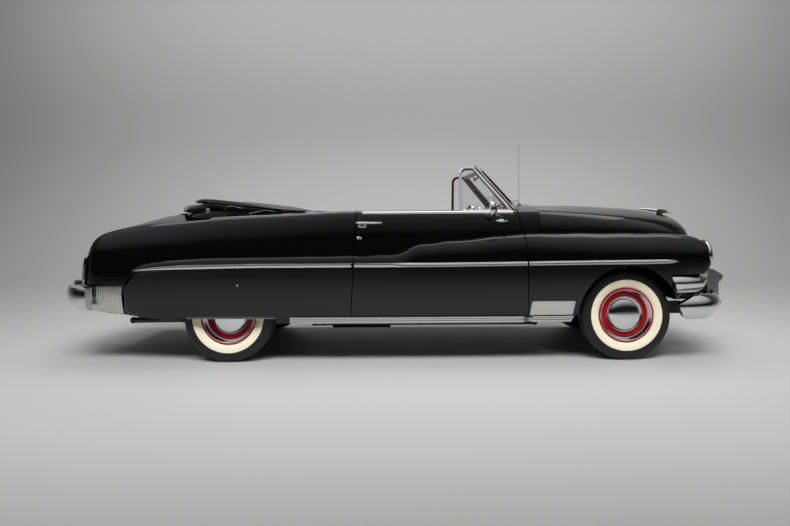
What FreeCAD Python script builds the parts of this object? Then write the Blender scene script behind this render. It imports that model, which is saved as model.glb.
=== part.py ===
import FreeCAD, Part
import math
import os

from FreeCAD import Placement, Rotation, Vector

# 1950s two-door convertible, black, with its top folded. Units are millimetres.
# +X points forward, +Y to the car's left and +Z up. The origin is on the ground,
# midway along the overall length and on the centre plane.

# Driving dimensions of the whole car
overall_length = 5253.0
wheelbase = 2997.0
front_overhang = 892.5
front_track = 1486.0
rear_track = 1524.0
body_half_width = 955.0
sill_height = 300.0
belt_height = 1129.0
shut_gap = 7.0
soft_gap = 0.3
panel_skin = 22.0
sliver_volume = 1000.0

front_axle_x = overall_length / 2 - front_overhang
rear_axle_x = front_axle_x - wheelbase

# Wheels and tyres
tyre_radius = 340.0
tyre_width = 180.0
rim_radius = 200.0
rim_width = 150.0
disc_offset = 28.0
hubcap_radius = 134.0
hubcap_height = 42.0
spindle_radius = 22.0
spindle_clearance = 0.3

# Doors, with a rear edge that slants so that it clears its jamb as it opens
door_front_x = 974.0
door_front_top_x = 892.0
door_rear_x = -308.0
door_rear_bottom_x = -335.0
door_inner_y = 762.0
door_bottom_z = 356.0
door_slant = 0.16
door_hinge_x = 960.0
door_hinge_y = 945.0
door_swing_deg = 65.0
glass_slot = 14.0

# Cabin and folded top well
cabin_front_x = 985.0
cabin_rear_x = -905.0
well_rear_x = -1838.0
well_half_width = 690.0
well_floor_z = 872.0
floor_z = 318.0
floor_thickness = 12.0
trunk_floor_z = 470.0

# Hood and trunk lid
hood_rear_x = 1080.0
hood_inset = 18.0
hood_swing_deg = 45.0
lid_front_x = -1866.0
lid_half_width = 600.0
lid_bottom_z = 640.0
lid_swing_deg = 65.0
lid_thickness = 22.0

# Wheel wells
apron_y = 455.0
apron_thickness = 20.0
apron_roof_z = 768.0
wheel_house_reach = 415.0
arch_radius = 378.0
rear_arch_radius = 372.0
rear_well_inner_y = 630.0

# Steering
kingpin_y = 640.0
kingpin_radius = 13.0
steering_lock_deg = 28.0
steering_ratio = 16.0
steering_wheel_radius = 215.0
steering_rim_radius = 11.0
steering_wheel_x = 540.0
steering_wheel_y = 372.0
steering_wheel_z = 996.0
column_rake_deg = 28.0


def box(x0, x1, y0, y1, z0, z1):
    return Part.makeBox(x1 - x0, y1 - y0, z1 - z0, Vector(x0, y0, z0))


def rod(start, end, radius):
    return Part.makeCylinder(radius, (end - start).Length, start, end - start)


def bar_between(start, end, radius):
    """A bar with ball ends a little fatter than itself, so that bars join at any angle."""
    ball = radius * 1.2
    return rod(start, end, radius).fuse([Part.makeSphere(ball, start), Part.makeSphere(ball, end)])


def mirrored(shape):
    """The same piece on the car's other side."""
    return shape.mirror(Vector(0, 0, 0), Vector(0, 1, 0))


def both(shape):
    return Part.makeCompound([shape, mirrored(shape)])


def fused(*shapes):
    return shapes[0].fuse(list(shapes[1:]))


def smooth_curve(*points):
    """A smooth function of x through points, that never overshoots between them."""
    pts = sorted(points)
    xs = [p[0] for p in pts]
    ys = [p[1] for p in pts]
    slopes = [(ys[i + 1] - ys[i]) / (xs[i + 1] - xs[i]) for i in range(len(xs) - 1)]
    tangents = [slopes[0]]
    for before, after in zip(slopes, slopes[1:]):
        tangents.append(0.0 if before * after <= 0 else 2 * before * after / (before + after))
    tangents.append(slopes[-1])

    def value(x):
        if x <= xs[0]:
            return ys[0]
        if x >= xs[-1]:
            return ys[-1]
        i = max(k for k in range(len(xs) - 1) if xs[k] <= x)
        h = xs[i + 1] - xs[i]
        t = (x - xs[i]) / h
        return (
            ys[i] * (1 + 2 * t) * (1 - t) ** 2
            + h * tangents[i] * t * (1 - t) ** 2
            + ys[i + 1] * t * t * (3 - 2 * t)
            - h * tangents[i + 1] * t * t * (1 - t)
        )

    return value


def spline_edge(points, shares=None):
    """A spline through points. Like shares of its length keep neighbouring sections in step."""
    curve = Part.BSplineCurve()
    if shares:
        curve.interpolate(Points=points, Parameters=shares)
    else:
        curve.interpolate(points)
    return curve.toShape()


def section(x, *runs):
    """A closed wire in the plane at x. A run is a list of (y, z) and its shares: two points make a line."""
    edges = []
    for run, shares in runs:
        pts = [Vector(x, y, z) for y, z in run]
        edges.append(Part.makeLine(*pts) if len(pts) == 2 else spline_edge(pts, shares))
    return Part.Wire(edges)


def loft(wires):
    return Part.makeLoft(wires, True, False)


def side_prism(outline, y0, y1):
    """A prism whose outline is a list of (x, z) seen from the side, from y0 to y1."""
    pts = [Vector(x, y0, z) for x, z in outline]
    face = Part.Face(Part.makePolygon(pts + pts[:1]))
    return face.extrude(Vector(0, y1 - y0, 0))


def plan_prism(outline, z0, z1):
    """A prism whose outline is a list of (x, y) seen from above, from z0 to z1."""
    pts = [Vector(x, y, z0) for x, y in outline]
    face = Part.Face(Part.makePolygon(pts + pts[:1]))
    return face.extrude(Vector(0, 0, z1 - z0))


def whole(shape):
    """The shape's solids, without the slivers that a cut leaves."""
    solids = [s for s in shape.Solids if s.Volume > sliver_volume]
    return solids[0] if len(solids) == 1 else Part.makeCompound(solids)


def export(name, shape):
    shape = whole(shape)
    print(name, shape.isValid(), len(shape.Solids), round(shape.Volume / 1e6, 3))
    shape.exportStep("parts/" + name + ".step")


os.makedirs("parts", exist_ok=True)

# Body lines, each a height or half-width along X, set out from the axles
fender_crest_z = smooth_curve(
    (front_axle_x + 627, 800), (front_axle_x + 606, 862), (front_axle_x + 545, 918),
    (front_axle_x + 450, 938), (front_axle_x + 266, 951), (front_axle_x - 160, 957),
    (front_axle_x - 734, 962), (front_axle_x - 1231, 919), (front_axle_x - 1457, 898),
    (front_axle_x - 1582, 880), (front_axle_x - 1640, 852), (front_axle_x - 1700, 817),
    (front_axle_x - 1795, 808), (rear_axle_x + 955, 803), (rear_axle_x + 415, 796),
    (rear_axle_x - 80, 790), (rear_axle_x - 417, 773), (rear_axle_x - 600, 748),
    (rear_axle_x - 690, 715), (rear_axle_x - 740, 665), (rear_axle_x - 785, 600),
)
shoulder_run = smooth_curve(
    (front_axle_x + 627, 100), (front_axle_x - 160, 105), (front_axle_x - 760, 85),
    (front_axle_x - 1582, 52), (front_axle_x - 1720, 40), (rear_axle_x - 785, 40),
)
shoulder_drop = smooth_curve(
    (front_axle_x + 627, 40), (front_axle_x + 500, 100), (front_axle_x - 160, 112),
    (front_axle_x - 760, 100), (front_axle_x - 1582, 72), (front_axle_x - 1720, 62),
    (rear_axle_x - 785, 62),
)
lower_half_width = smooth_curve(
    (front_axle_x + 627, 848), (front_axle_x + 560, 886), (front_axle_x + 450, 915),
    (front_axle_x + 200, 935), (front_axle_x - 300, 945), (front_axle_x - 760, 950),
    (0, body_half_width), (rear_axle_x + 300, body_half_width), (rear_axle_x - 200, 952),
    (rear_axle_x - 600, 938), (rear_axle_x - 700, 918), (rear_axle_x - 785, 878),
)
lower_bottom_z = smooth_curve(
    (front_axle_x + 627, 690), (front_axle_x + 570, 640), (front_axle_x + 460, 560),
    (front_axle_x + 380, 470), (front_axle_x + 260, 420), (front_axle_x - 420, sill_height + 50),
    (0, sill_height), (rear_axle_x + 420, sill_height), (rear_axle_x - 380, sill_height + 26),
    (rear_axle_x - 785, sill_height + 64),
)
upper_side_y = smooth_curve(
    (front_axle_x - 640, 850), (front_axle_x - 1000, 885), (0, 905), (rear_axle_x, 905),
    (rear_axle_x - 600, 893), (rear_axle_x - 790, 882), (rear_axle_x - 950, 852),
    (rear_axle_x - 1050, 800), (rear_axle_x - 1110, 745), (rear_axle_x - 1150, 672),
)
belt_z = smooth_curve(
    (front_axle_x - 640, belt_height), (rear_axle_x + 972, belt_height - 2),
    (rear_axle_x + 466, belt_height - 21), (rear_axle_x - 50, belt_height - 44),
    (rear_axle_x - 280, belt_height - 62), (rear_axle_x - 636, belt_height - 88),
    (rear_axle_x - 839, belt_height - 122), (rear_axle_x - 944, belt_height - 146),
    (rear_axle_x - 1027, belt_height - 182), (rear_axle_x - 1085, belt_height - 230),
    (rear_axle_x - 1131, belt_height - 320), (rear_axle_x - 1155, belt_height - 420),
)
belt_tuck = smooth_curve(
    (front_axle_x - 640, 62), (0, 66), (rear_axle_x, 85), (rear_axle_x - 600, 120),
    (rear_axle_x - 900, 125), (rear_axle_x - 1155, 70),
)
deck_centre_z = smooth_curve(
    (front_axle_x - 640, 1192), (rear_axle_x + 300, 1170), (rear_axle_x - 400, 1150),
    (rear_axle_x - 540, 1134), (rear_axle_x - 737, 1084), (rear_axle_x - 837, 1045),
    (rear_axle_x - 987, 955), (rear_axle_x - 1090, 850), (rear_axle_x - 1155, 750),
)
upper_bottom_z = smooth_curve(
    (front_axle_x - 640, sill_height + 20), (rear_axle_x - 380, sill_height + 30),
    (rear_axle_x - 760, sill_height + 65), (rear_axle_x - 1020, sill_height + 90),
    (rear_axle_x - 1155, sill_height + 120),
)
hood_half_width = smooth_curve(
    (front_axle_x - 860, 842), (front_axle_x - 654, 838), (front_axle_x - 334, 790),
    (front_axle_x, 710), (front_axle_x + 266, 620), (front_axle_x + 466, 530),
    (front_axle_x + 596, 430), (front_axle_x + 666, 340), (front_axle_x + 706, 250),
    (front_axle_x + 723, 180),
)
hood_edge_z = smooth_curve(
    (front_axle_x - 860, 952), (front_axle_x, 952), (front_axle_x + 266, 942),
    (front_axle_x + 466, 918), (front_axle_x + 616, 868), (front_axle_x + 723, 815),
)
hood_shoulder_z = smooth_curve(
    (front_axle_x - 860, 1122), (front_axle_x - 654, 1116), (front_axle_x - 334, 1096),
    (front_axle_x, 1064), (front_axle_x + 266, 1026), (front_axle_x + 466, 985),
    (front_axle_x + 616, 925), (front_axle_x + 706, 865), (front_axle_x + 723, 840),
)
hood_centre_z = smooth_curve(
    (front_axle_x - 860, 1192), (front_axle_x - 671, 1184), (front_axle_x - 191, 1176),
    (front_axle_x + 75, 1160), (front_axle_x + 316, 1140), (front_axle_x + 475, 1112),
    (front_axle_x + 582, 1084), (front_axle_x + 650, 1044), (front_axle_x + 696, 984),
    (front_axle_x + 723, 925),
)
widest_z = 680.0
past_centre = 5.0


def lower_section(x, inset=0.0):
    """The lower pontoon's left half at x: sill, bulging side, rounded shoulder and ledge."""
    width = lower_half_width(x) - inset
    low = lower_bottom_z(x) - (1.0 if inset else 0.0)
    crest = fender_crest_z(x) - inset
    run = shoulder_run(x)
    drop = shoulder_drop(x)
    wide = max(min(widest_z, crest - drop - 30), low + 30)
    ledge_y = min(width - run - 40, hood_half_width(x) + shut_gap + 2)
    side = [
        (width - 62, low),
        (width - 16, low + 0.42 * (wide - low)),
        (width, wide),
        (width - 0.10 * run, crest - drop),
        (width - 0.45 * run, crest - 0.30 * drop),
        (width - run, crest),
        (ledge_y, crest - 3),
    ]
    return section(
        x,
        ([(-past_centre, low), side[0]], None),
        (side, [0, 0.2, 0.42, 0.66, 0.78, 0.88, 1]),
        ([side[-1], (-past_centre, crest - 3)], None),
        ([(-past_centre, crest - 3), (-past_centre, low)], None),
    )


def upper_section(x, inset=0.0):
    """The upper body's left half at x: side, belt roll and crowned top."""
    side_y = upper_side_y(x) - inset
    top = belt_z(x) - inset
    tuck = belt_tuck(x)
    low = upper_bottom_z(x) - (1.0 if inset else 0.0)
    height = top - low
    side = [
        (side_y - 40, low),
        (side_y, low + 0.40 * height),
        (side_y - 0.10 * tuck, low + 0.68 * height),
        (side_y - 0.42 * tuck, low + 0.90 * height),
        (side_y - 0.68 * tuck, low + 0.972 * height),
        (side_y - tuck, top),
    ]
    centre = deck_centre_z(x) - inset
    rise = centre - top
    belt_y = side[-1][0]
    crown = [side[-1], (0.76 * belt_y, top + 0.42 * rise), (0.40 * belt_y, top + 0.84 * rise), (0.0, centre)]
    return section(
        x,
        ([(-past_centre, low), side[0]], None),
        (side, [0, 0.4, 0.68, 0.90, 0.955, 1]),
        (crown, [0, 0.25, 0.6, 1]),
        ([crown[-1], (-past_centre, centre)], None),
        ([(-past_centre, centre), (-past_centre, low)], None),
    )


def hood_section(x, inset=0.0):
    """The hood dome's full width at x."""
    wide = hood_half_width(x) - inset
    edge = hood_edge_z(x) - (1.0 if inset else 0.0)
    shoulder = hood_shoulder_z(x) - inset
    centre = hood_centre_z(x) - inset
    rise = centre - shoulder
    half = [
        (wide, edge),
        (0.985 * wide, edge + 0.5 * (shoulder - edge)),
        (0.93 * wide, shoulder),
        (0.76 * wide, shoulder + 0.45 * rise),
        (0.38 * wide, shoulder + 0.86 * rise),
    ]
    dome = half + [(0.0, centre)] + [(-y, z) for y, z in reversed(half)]
    half_shares = [0, 0.07, 0.15, 0.24, 0.34, 0.5]
    shares = half_shares + [1 - share for share in reversed(half_shares[:-1])]
    return section(x, (dome, shares), ([dome[-1], dome[0]], None))


def stations(base_and_steps):
    return sorted((base + step for base, steps in base_and_steps for step in steps), reverse=True)


front_end = 627.0
hood_reach = 723.0
tail_end = -1150.0
lower_stations = stations([
    (front_axle_x, (605, 570, 510, 430, 320, 190, 50, -100, -260, -430, -600, -770, -940, -1110,
                    -1270, -1410, -1520, -1600, -1660, -1720, -1800, -1910)),
    (rear_axle_x, (950, 800, 640, 480, 320, 160, 0, -160, -310, -440, -540, -620, -680, -725, -757)),
])
upper_stations = stations([
    (front_axle_x, (-640, -860, -1100, -1360, -1620, -1880)),
    (rear_axle_x, (860, 610, 360, 110, -120, -330, -500, -640, -770, -880, -970, -1045, -1105)),
])
hood_stations = stations([
    (front_axle_x, (-860, -650, -420, -200, 0, 170, 310, 420, 510, 582, 640, 682, 708)),
])

lower_left = loft([lower_section(x) for x in [front_axle_x + front_end] + lower_stations + [rear_axle_x - 785]])
lower_inner = loft([
    lower_section(x, panel_skin)
    for x in [front_axle_x + front_end - panel_skin] + lower_stations[1:] + [rear_axle_x - 785 + panel_skin]
])
upper_left = loft([upper_section(x) for x in upper_stations + [rear_axle_x + tail_end]])
upper_inner = loft([upper_section(x, panel_skin) for x in upper_stations + [rear_axle_x + tail_end + panel_skin]])
hood_outer = loft([hood_section(x) for x in [front_axle_x + hood_reach] + hood_stations])
hood_inner = loft([hood_section(x, hood_inset) for x in [front_axle_x + hood_reach - hood_inset] + hood_stations[1:]])


def door_prism(grow, inner_y):
    """The door's space, slanting inwards and forwards, grown by a gap on its four edges."""
    outer_y = body_half_width + 45
    depth = outer_y - inner_y
    shift = door_slant * 45
    top = belt_height + 90
    outline = [
        (door_rear_bottom_x - grow, door_bottom_z - grow),
        (door_rear_x - grow, widest_z),
        (door_rear_x - grow, top),
        (door_front_top_x + grow, top),
        (door_front_top_x + grow, belt_height - 12),
        (door_front_top_x + grow + 40, belt_height - 130),
        (door_front_x - 14 + grow, belt_height - 230),
        (door_front_x + grow, belt_height - 310),
        (door_front_x + grow, door_bottom_z - grow),
    ]
    pts = [Vector(x - shift, outer_y, z) for x, z in outline]
    face = Part.Face(Part.makePolygon(pts + pts[:1]))
    return face.extrude(Vector(door_slant * depth, -depth, 0))


def arch_prism(axle_x, radius, y0, y1):
    """A wheel arch seen from the side: a half round over the axle, with a straight drop below it."""
    half = rod(Vector(axle_x, y0, tyre_radius), Vector(axle_x, y1, tyre_radius), radius)
    low = box(axle_x - radius, axle_x + radius, y0, y1, 0, tyre_radius)
    return fused(half, low)


def hood_outline(grow, z0, z1):
    """Half of the hood's outline from above, as a prism."""
    pts = [Vector(x, hood_half_width(x) + grow, z0) for x in [front_axle_x + hood_reach] + hood_stations]
    start, end = Vector(pts[0].x + 20, 0, z0), Vector(pts[-1].x, 0, z0)
    edges = [
        spline_edge(pts),
        Part.makeLine(pts[-1], end),
        Part.makeLine(end, start),
        Part.makeLine(start, Vector(start.x, pts[0].y, z0)),
        Part.makeLine(Vector(start.x, pts[0].y, z0), pts[0]),
    ]
    return Part.Face(Part.Wire(edges)).extrude(Vector(0, 0, z1 - z0))


door_space = door_prism(0.0, door_inner_y)
door_opening = door_prism(shut_gap, door_inner_y - 60)

def bent_bar(points, rows, rear_depth, inner_x):
    """A bar from end to end: one upright section carried along its curve seen from above.

    The rows are (depth, height) pairs of the bulged face, from its lower to its upper edge.
    """
    path = Part.BSplineCurve()
    path.interpolate([Vector(x, -y, 0) for x, y in reversed(points[1:])] + [Vector(x, y, 0) for x, y in points])
    p = path.value(path.FirstParameter)
    tangent = path.tangent(path.FirstParameter)[0]
    back = Vector(-tangent.y, tangent.x, 0)
    if back.dot(Vector(inner_x, 0, 0) - p) < 0:
        back = -back
    front = [Vector(p.x, p.y, z) + back * depth for depth, z in rows]
    rear = [Vector(p.x, p.y, z) + back * rear_depth for z in (rows[-1][1], rows[0][1])]
    sweep = Part.BRepOffsetAPI.MakePipeShell(Part.Wire([path.toShape()]))
    sweep.setBiNormalMode(Vector(0, 0, 1))
    sweep.add(Part.Wire([
        spline_edge(front, [0, 0.25, 0.5, 0.75, 1]), Part.makeLine(front[-1], rear[0]),
        Part.makeLine(*rear), Part.makeLine(rear[1], front[0]),
    ]))
    sweep.build()
    sweep.makeSolid()
    return sweep.shape()


# Grille bar, which wraps both corners and sits in a channel pressed into the fenders
grille_low_z = 515.0
grille_high_z = 652.0
grille_ridge_z = 587.0
grille_depth = 58.0
grille_path = [(2412, 0), (2408, 300), (2396, 560), (2372, 720), (2312, 850), (2200, 922), (2046, 948)]
grille_bar = bent_bar(grille_path, [
    (50, grille_low_z), (16, grille_low_z + 30), (0, grille_ridge_z), (18, grille_high_z - 25), (50, grille_high_z),
], grille_depth, front_axle_x)
grille_channel = bent_bar(grille_path, [
    (-30, grille_low_z - soft_gap), (-30, grille_low_z + 30), (-30, grille_ridge_z), (-30, grille_high_z - 25),
    (-30, grille_high_z + soft_gap),
], grille_depth + soft_gap, front_axle_x)
bar_end = side_prism([
    (2000, 400), (2098, 400), (2090, grille_low_z - 4), (2036, 640), (2036, 700), (2000, 700)], 800, 1000)
grille_bar = grille_bar.cut(bar_end).cut(mirrored(bar_end))

# Front fenders: a skin, a wheel house and its apron, open to the tyre and to the engine bay
fender_rear_x = door_front_x + shut_gap
fender_front_x = front_axle_x + front_end
house_front_x = front_axle_x + wheel_house_reach
house_rear_x = front_axle_x - wheel_house_reach
apron_rear_x = cabin_front_x + 60
apron_front_x = front_axle_x + 600
fender_space = box(fender_rear_x, fender_front_x + 1, apron_y - 1, body_half_width + 5, 0, 1100)
hood_space = hood_outline(shut_gap, apron_roof_z + 60, belt_height)
fender_skin = lower_left.common(fender_space).cut(lower_inner).cut(hood_space)
apron_wall = box(apron_rear_x, apron_front_x, apron_y, apron_y + apron_thickness, 430, apron_roof_z)
apron_roof = box(
    apron_rear_x, apron_front_x, apron_y, body_half_width, apron_roof_z, apron_roof_z + apron_thickness)
house_rear_wall = box(
    house_rear_x - apron_thickness, house_rear_x, apron_y, body_half_width, sill_height + 60, apron_roof_z)
house_front_wall = box(house_front_x, house_front_x + apron_thickness, apron_y, body_half_width, 520, apron_roof_z)
apron = fused(apron_wall, apron_roof, house_rear_wall, house_front_wall).common(lower_left)
arch_space = arch_prism(front_axle_x, arch_radius, apron_y + apron_thickness + 60, body_half_width + 50)
front_fender_left = whole(fused(fender_skin, apron).cut(arch_space).cut(door_opening).cut(grille_channel))
export("front_fender_left", front_fender_left)
export("front_fender_right", mirrored(front_fender_left))

# Nose panel between the fenders, under the hood's front
nose_space = box(fender_front_x - 60, fender_front_x + 1, 0, apron_y - 1, 0, 1100)
nose_left = lower_left.common(nose_space).cut(lower_inner).cut(hood_space)
nose_lip = hood_outline(-10.0, 700, 806).common(box(fender_front_x, front_axle_x + hood_reach, 0, 400, 0, 900))
nose_left = fused(nose_left, nose_lip)
nose_left = nose_left.cut(grille_channel)
export("nose_panel", fused(nose_left, mirrored(nose_left)))

# Hood
hood = hood_outer.cut(hood_inner).common(box(hood_rear_x + shut_gap, overall_length / 2, -900, 900, 0, 1400))
export("hood", hood)

# Doors: as thick as the wall, with a slot at the top for the lowered glass
glass_slot_y = 800.0
slot = box(door_rear_x + 60, door_front_top_x - 60, glass_slot_y, glass_slot_y + glass_slot, 640, 1300)
door_left = fused(upper_left.common(door_space), lower_left.common(door_space)).cut(slot)
export("door_left", door_left)
export("door_right", mirrored(door_left))

# Sills under the doors
sill_top_z = door_bottom_z - shut_gap
sill_rear_x = door_rear_bottom_x - shut_gap
sill_left = lower_left.common(
    box(sill_rear_x, fender_rear_x, door_inner_y - 20, body_half_width + 5, 0, sill_top_z))
export("sills", both(whole(sill_left)))

# Cowl: the panel before the windshield, the firewall and the door hinge pillars, with hinge leaves in the shut lines
running_gap = 0.3
leaf_width = 60.0
leaf_height = 70.0
leaf_drop = 6.0
leaf_door_y = 840.0
leaf_door_z = (480.0, 760.0)
leaf_lid_y = 280.0
cowl_rear_x = 880.0
cowl_plate = upper_left.cut(upper_inner).common(
    box(cowl_rear_x, hood_rear_x, 0, door_inner_y - shut_gap, belt_height - 60, 1300))
cowl_side = upper_left.cut(upper_inner).cut(lower_left).common(
    box(door_front_top_x, hood_rear_x, door_inner_y - shut_gap - 1, body_half_width, 400, 1300))
cowl_corner = lower_left.cut(lower_inner).cut(upper_inner).common(
    box(door_front_top_x, fender_rear_x, door_inner_y, body_half_width + 5, 700, 1100))
hinge_pillar = door_prism(shut_gap + apron_thickness, door_inner_y - 20).cut(door_opening).common(
    box(door_front_top_x - 20, cabin_front_x + 80, door_inner_y - 20, body_half_width, sill_top_z, belt_height))
hinge_pillar = fused(hinge_pillar.common(upper_left).cut(lower_left), hinge_pillar.common(lower_inner))
firewall = box(cabin_front_x + 40, cabin_front_x + 60, 0, door_inner_y, floor_z + floor_thickness, 1160).common(
    upper_inner)
kick_panel = box(cabin_front_x + 20, cabin_front_x + 60, door_inner_y - 20, door_inner_y, sill_top_z, 1110)
door_leaves = [
    door_prism(shut_gap + 2, door_inner_y - 20).cut(door_prism(running_gap, door_inner_y - 20)).common(
        box(door_front_top_x, fender_rear_x + 10, leaf_door_y, leaf_door_y + leaf_width, z, z + leaf_height))
    for z in leaf_door_z
]
hood_leaf = upper_left.cut(upper_inner).common(box(
    hood_rear_x - 2, hood_rear_x + shut_gap - running_gap, leaf_lid_y, leaf_lid_y + leaf_width, belt_height - 60, 1300))
hood_leaf.translate(Vector(0, 0, -leaf_drop))
cowl_left = fused(cowl_plate, cowl_side, cowl_corner, hinge_pillar, firewall, kick_panel).cut(door_opening)
cowl_left = fused(cowl_left, hood_leaf, *door_leaves)
export("cowl", fused(cowl_left, mirrored(cowl_left)))

# Rear quarters: skin, inner wall beside the rear seat, door jamb and wheel house
quarter_inner_y = 620.0
rear_wall_x = rear_axle_x + tail_end
quarter_box = box(rear_wall_x - 1, -200, quarter_inner_y, body_half_width + 5, 0, 1300)
upper_skin = upper_left.common(quarter_box).cut(upper_inner).cut(lower_inner)
lower_skin = lower_left.common(quarter_box).cut(lower_inner).cut(upper_inner)
inner_wall = box(cabin_rear_x, -330, door_inner_y - 20, door_inner_y, floor_z, belt_height)
rear_house_front_x = rear_axle_x + 400
rear_house_rear_x = rear_axle_x - 400
wheel_house = box(
    rear_house_rear_x - 20, rear_house_front_x + 20, rear_well_inner_y, body_half_width, floor_z, 752
).cut(box(rear_house_rear_x, rear_house_front_x, rear_well_inner_y + 20, body_half_width, 0, 732))
jamb = door_prism(shut_gap + apron_thickness, door_inner_y - 20).cut(door_opening).common(
    box(-420, -150, door_inner_y - 20, body_half_width, sill_top_z - 20, belt_height))
quarter_inside = fused(inner_wall, wheel_house, jamb)
quarter_inside = fused(quarter_inside.common(upper_left), quarter_inside.common(lower_left))


def well_outline(grow, z0, z1):
    """Half of the folded top's well from above, round at its rear, as a prism."""
    side = well_half_width + grow
    rear = well_rear_x - grow
    a = Vector(cabin_rear_x + grow, 0, z0)
    b = Vector(cabin_rear_x + grow, side, z0)
    c = Vector(well_rear_x + 440, side, z0)
    mid = Vector(well_rear_x + 130 - grow * 0.7, 0.72 * side, z0)
    d = Vector(rear, 0.25 * side, z0)
    e = Vector(rear, 0, z0)
    edges = [
        Part.makeLine(a, b), Part.makeLine(b, c), Part.Arc(c, mid, d).toShape(),
        Part.makeLine(d, e), Part.makeLine(e, a),
    ]
    return Part.Face(Part.Wire(edges)).extrude(Vector(0, 0, z1 - z0))


def lid_outline(grow, z0, z1):
    """Half of the trunk lid from above, with a round front corner, as a prism."""
    side = lid_half_width + grow
    front = lid_front_x + grow
    points = [(front, 0), (front, side - 60), (front - 18, side - 18), (front - 60, side)]
    points += [(rear_axle_x - 950, side), (rear_wall_x - 5, side - 60), (rear_wall_x - 5, 0)]
    return plan_prism(points, z0, z1)


well_space = well_outline(0.0, well_floor_z, 1300)
cabin_space = box(cabin_rear_x, 1000, -1, door_inner_y - 20, floor_z + floor_thickness, 1300)
lid_opening = lid_outline(shut_gap, lid_bottom_z - shut_gap, 1300)
quarter_left = fused(upper_skin, lower_skin, quarter_inside).cut(door_opening).cut(well_space)
quarter_left = quarter_left.cut(cabin_space).cut(lid_opening).cut(box(sill_rear_x, 0, 0, 1000, 0, door_bottom_z - 1))
rear_arch = arch_prism(rear_axle_x, rear_arch_radius, rear_well_inner_y + 30, body_half_width + 50)
axle_slot = box(rear_axle_x - 70, rear_axle_x + 70, rear_well_inner_y - 10, rear_well_inner_y + 30, 0, 450)
quarter_left = quarter_left.cut(rear_arch).cut(axle_slot)
export("rear_quarter_left", quarter_left)
export("rear_quarter_right", mirrored(quarter_left))

# Fender skirts close the rear arches
skirt = lower_left.common(arch_prism(rear_axle_x, rear_arch_radius, 800, body_half_width + 50))
skirt = skirt.cut(lower_inner).common(box(-3000, 0, 800, 1000, sill_height + 40, 800))
export("fender_skirts", both(whole(skirt)))

# Rear deck: the panel round the well and the lid, the well's tub and the back panel
deck_box = box(rear_wall_x - 1, cabin_rear_x, 0, quarter_inner_y, 0, 1300)
deck_skin = upper_left.common(deck_box).cut(upper_inner)
tub = well_outline(12.0, well_floor_z - 12, 1300).cut(well_space).common(upper_inner)
tub = tub.common(box(-3000, cabin_rear_x, 0, 1000, 0, 1300))
bulkhead = box(cabin_rear_x - 12, cabin_rear_x, 0, rear_well_inner_y, trunk_floor_z + floor_thickness, well_floor_z)
deck_left = fused(deck_skin, tub, bulkhead).cut(well_space).cut(lid_opening)
lid_leaf = upper_left.cut(upper_inner).common(lid_outline(shut_gap + 2, lid_bottom_z, 1300)).cut(
    lid_outline(running_gap, lid_bottom_z - 1, 1301)).common(
    box(lid_front_x - 2, lid_front_x + 20, leaf_lid_y, leaf_lid_y + leaf_width, lid_bottom_z, 1300))
lid_leaf.translate(Vector(0, 0, -leaf_drop))
deck_left = fused(deck_left, lid_leaf)
export("rear_deck", fused(deck_left, mirrored(deck_left)))

# Trunk lid
lid_left = upper_left.cut(upper_inner).common(lid_outline(0.0, lid_bottom_z, 1300))
export("trunk_lid", fused(lid_left, mirrored(lid_left)))

# Tyres and wheels, each on its axle's track
def tyre(x, y):
    """A tyre with a flat tread, round shoulders and beads on the rim."""
    half = tyre_width / 2
    tread = 66.0
    bead = rim_width / 2
    a = Vector(x, y - bead, tyre_radius + rim_radius)
    b = Vector(x, y - half, tyre_radius + 0.62 * tyre_radius)
    c = Vector(x, y - half + 2, tyre_radius + 0.80 * tyre_radius)
    d = Vector(x, y - tread, 2 * tyre_radius - 7)
    e = Vector(x, y, 2 * tyre_radius)

    def flip(v):
        return Vector(v.x, 2 * y - v.y, v.z)

    left = spline_edge([a, b, Vector(x, y - half - 0.0, tyre_radius + 0.72 * tyre_radius), c, d])
    right = spline_edge([flip(a), flip(b), Vector(x, y + half, tyre_radius + 0.72 * tyre_radius), flip(c), flip(d)])
    tread_arc = Part.Arc(d, e, flip(d)).toShape()
    face = Part.Face(Part.Wire([left, tread_arc, right, Part.makeLine(flip(a), a)]))
    return face.revolve(Vector(x, y, tyre_radius), Vector(0, 1, 0), 360)


def turned(x, y, side, profile):
    """A solid turned about a wheel's axis. The profile is a list of (outboard distance, radius)."""
    pts = [Vector(x, y + side * out, tyre_radius + r) for out, r in profile]
    face = Part.Face(Part.makePolygon(pts + pts[:1]))
    return face.revolve(Vector(x, y, tyre_radius), Vector(0, 1, 0), 360)


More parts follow.
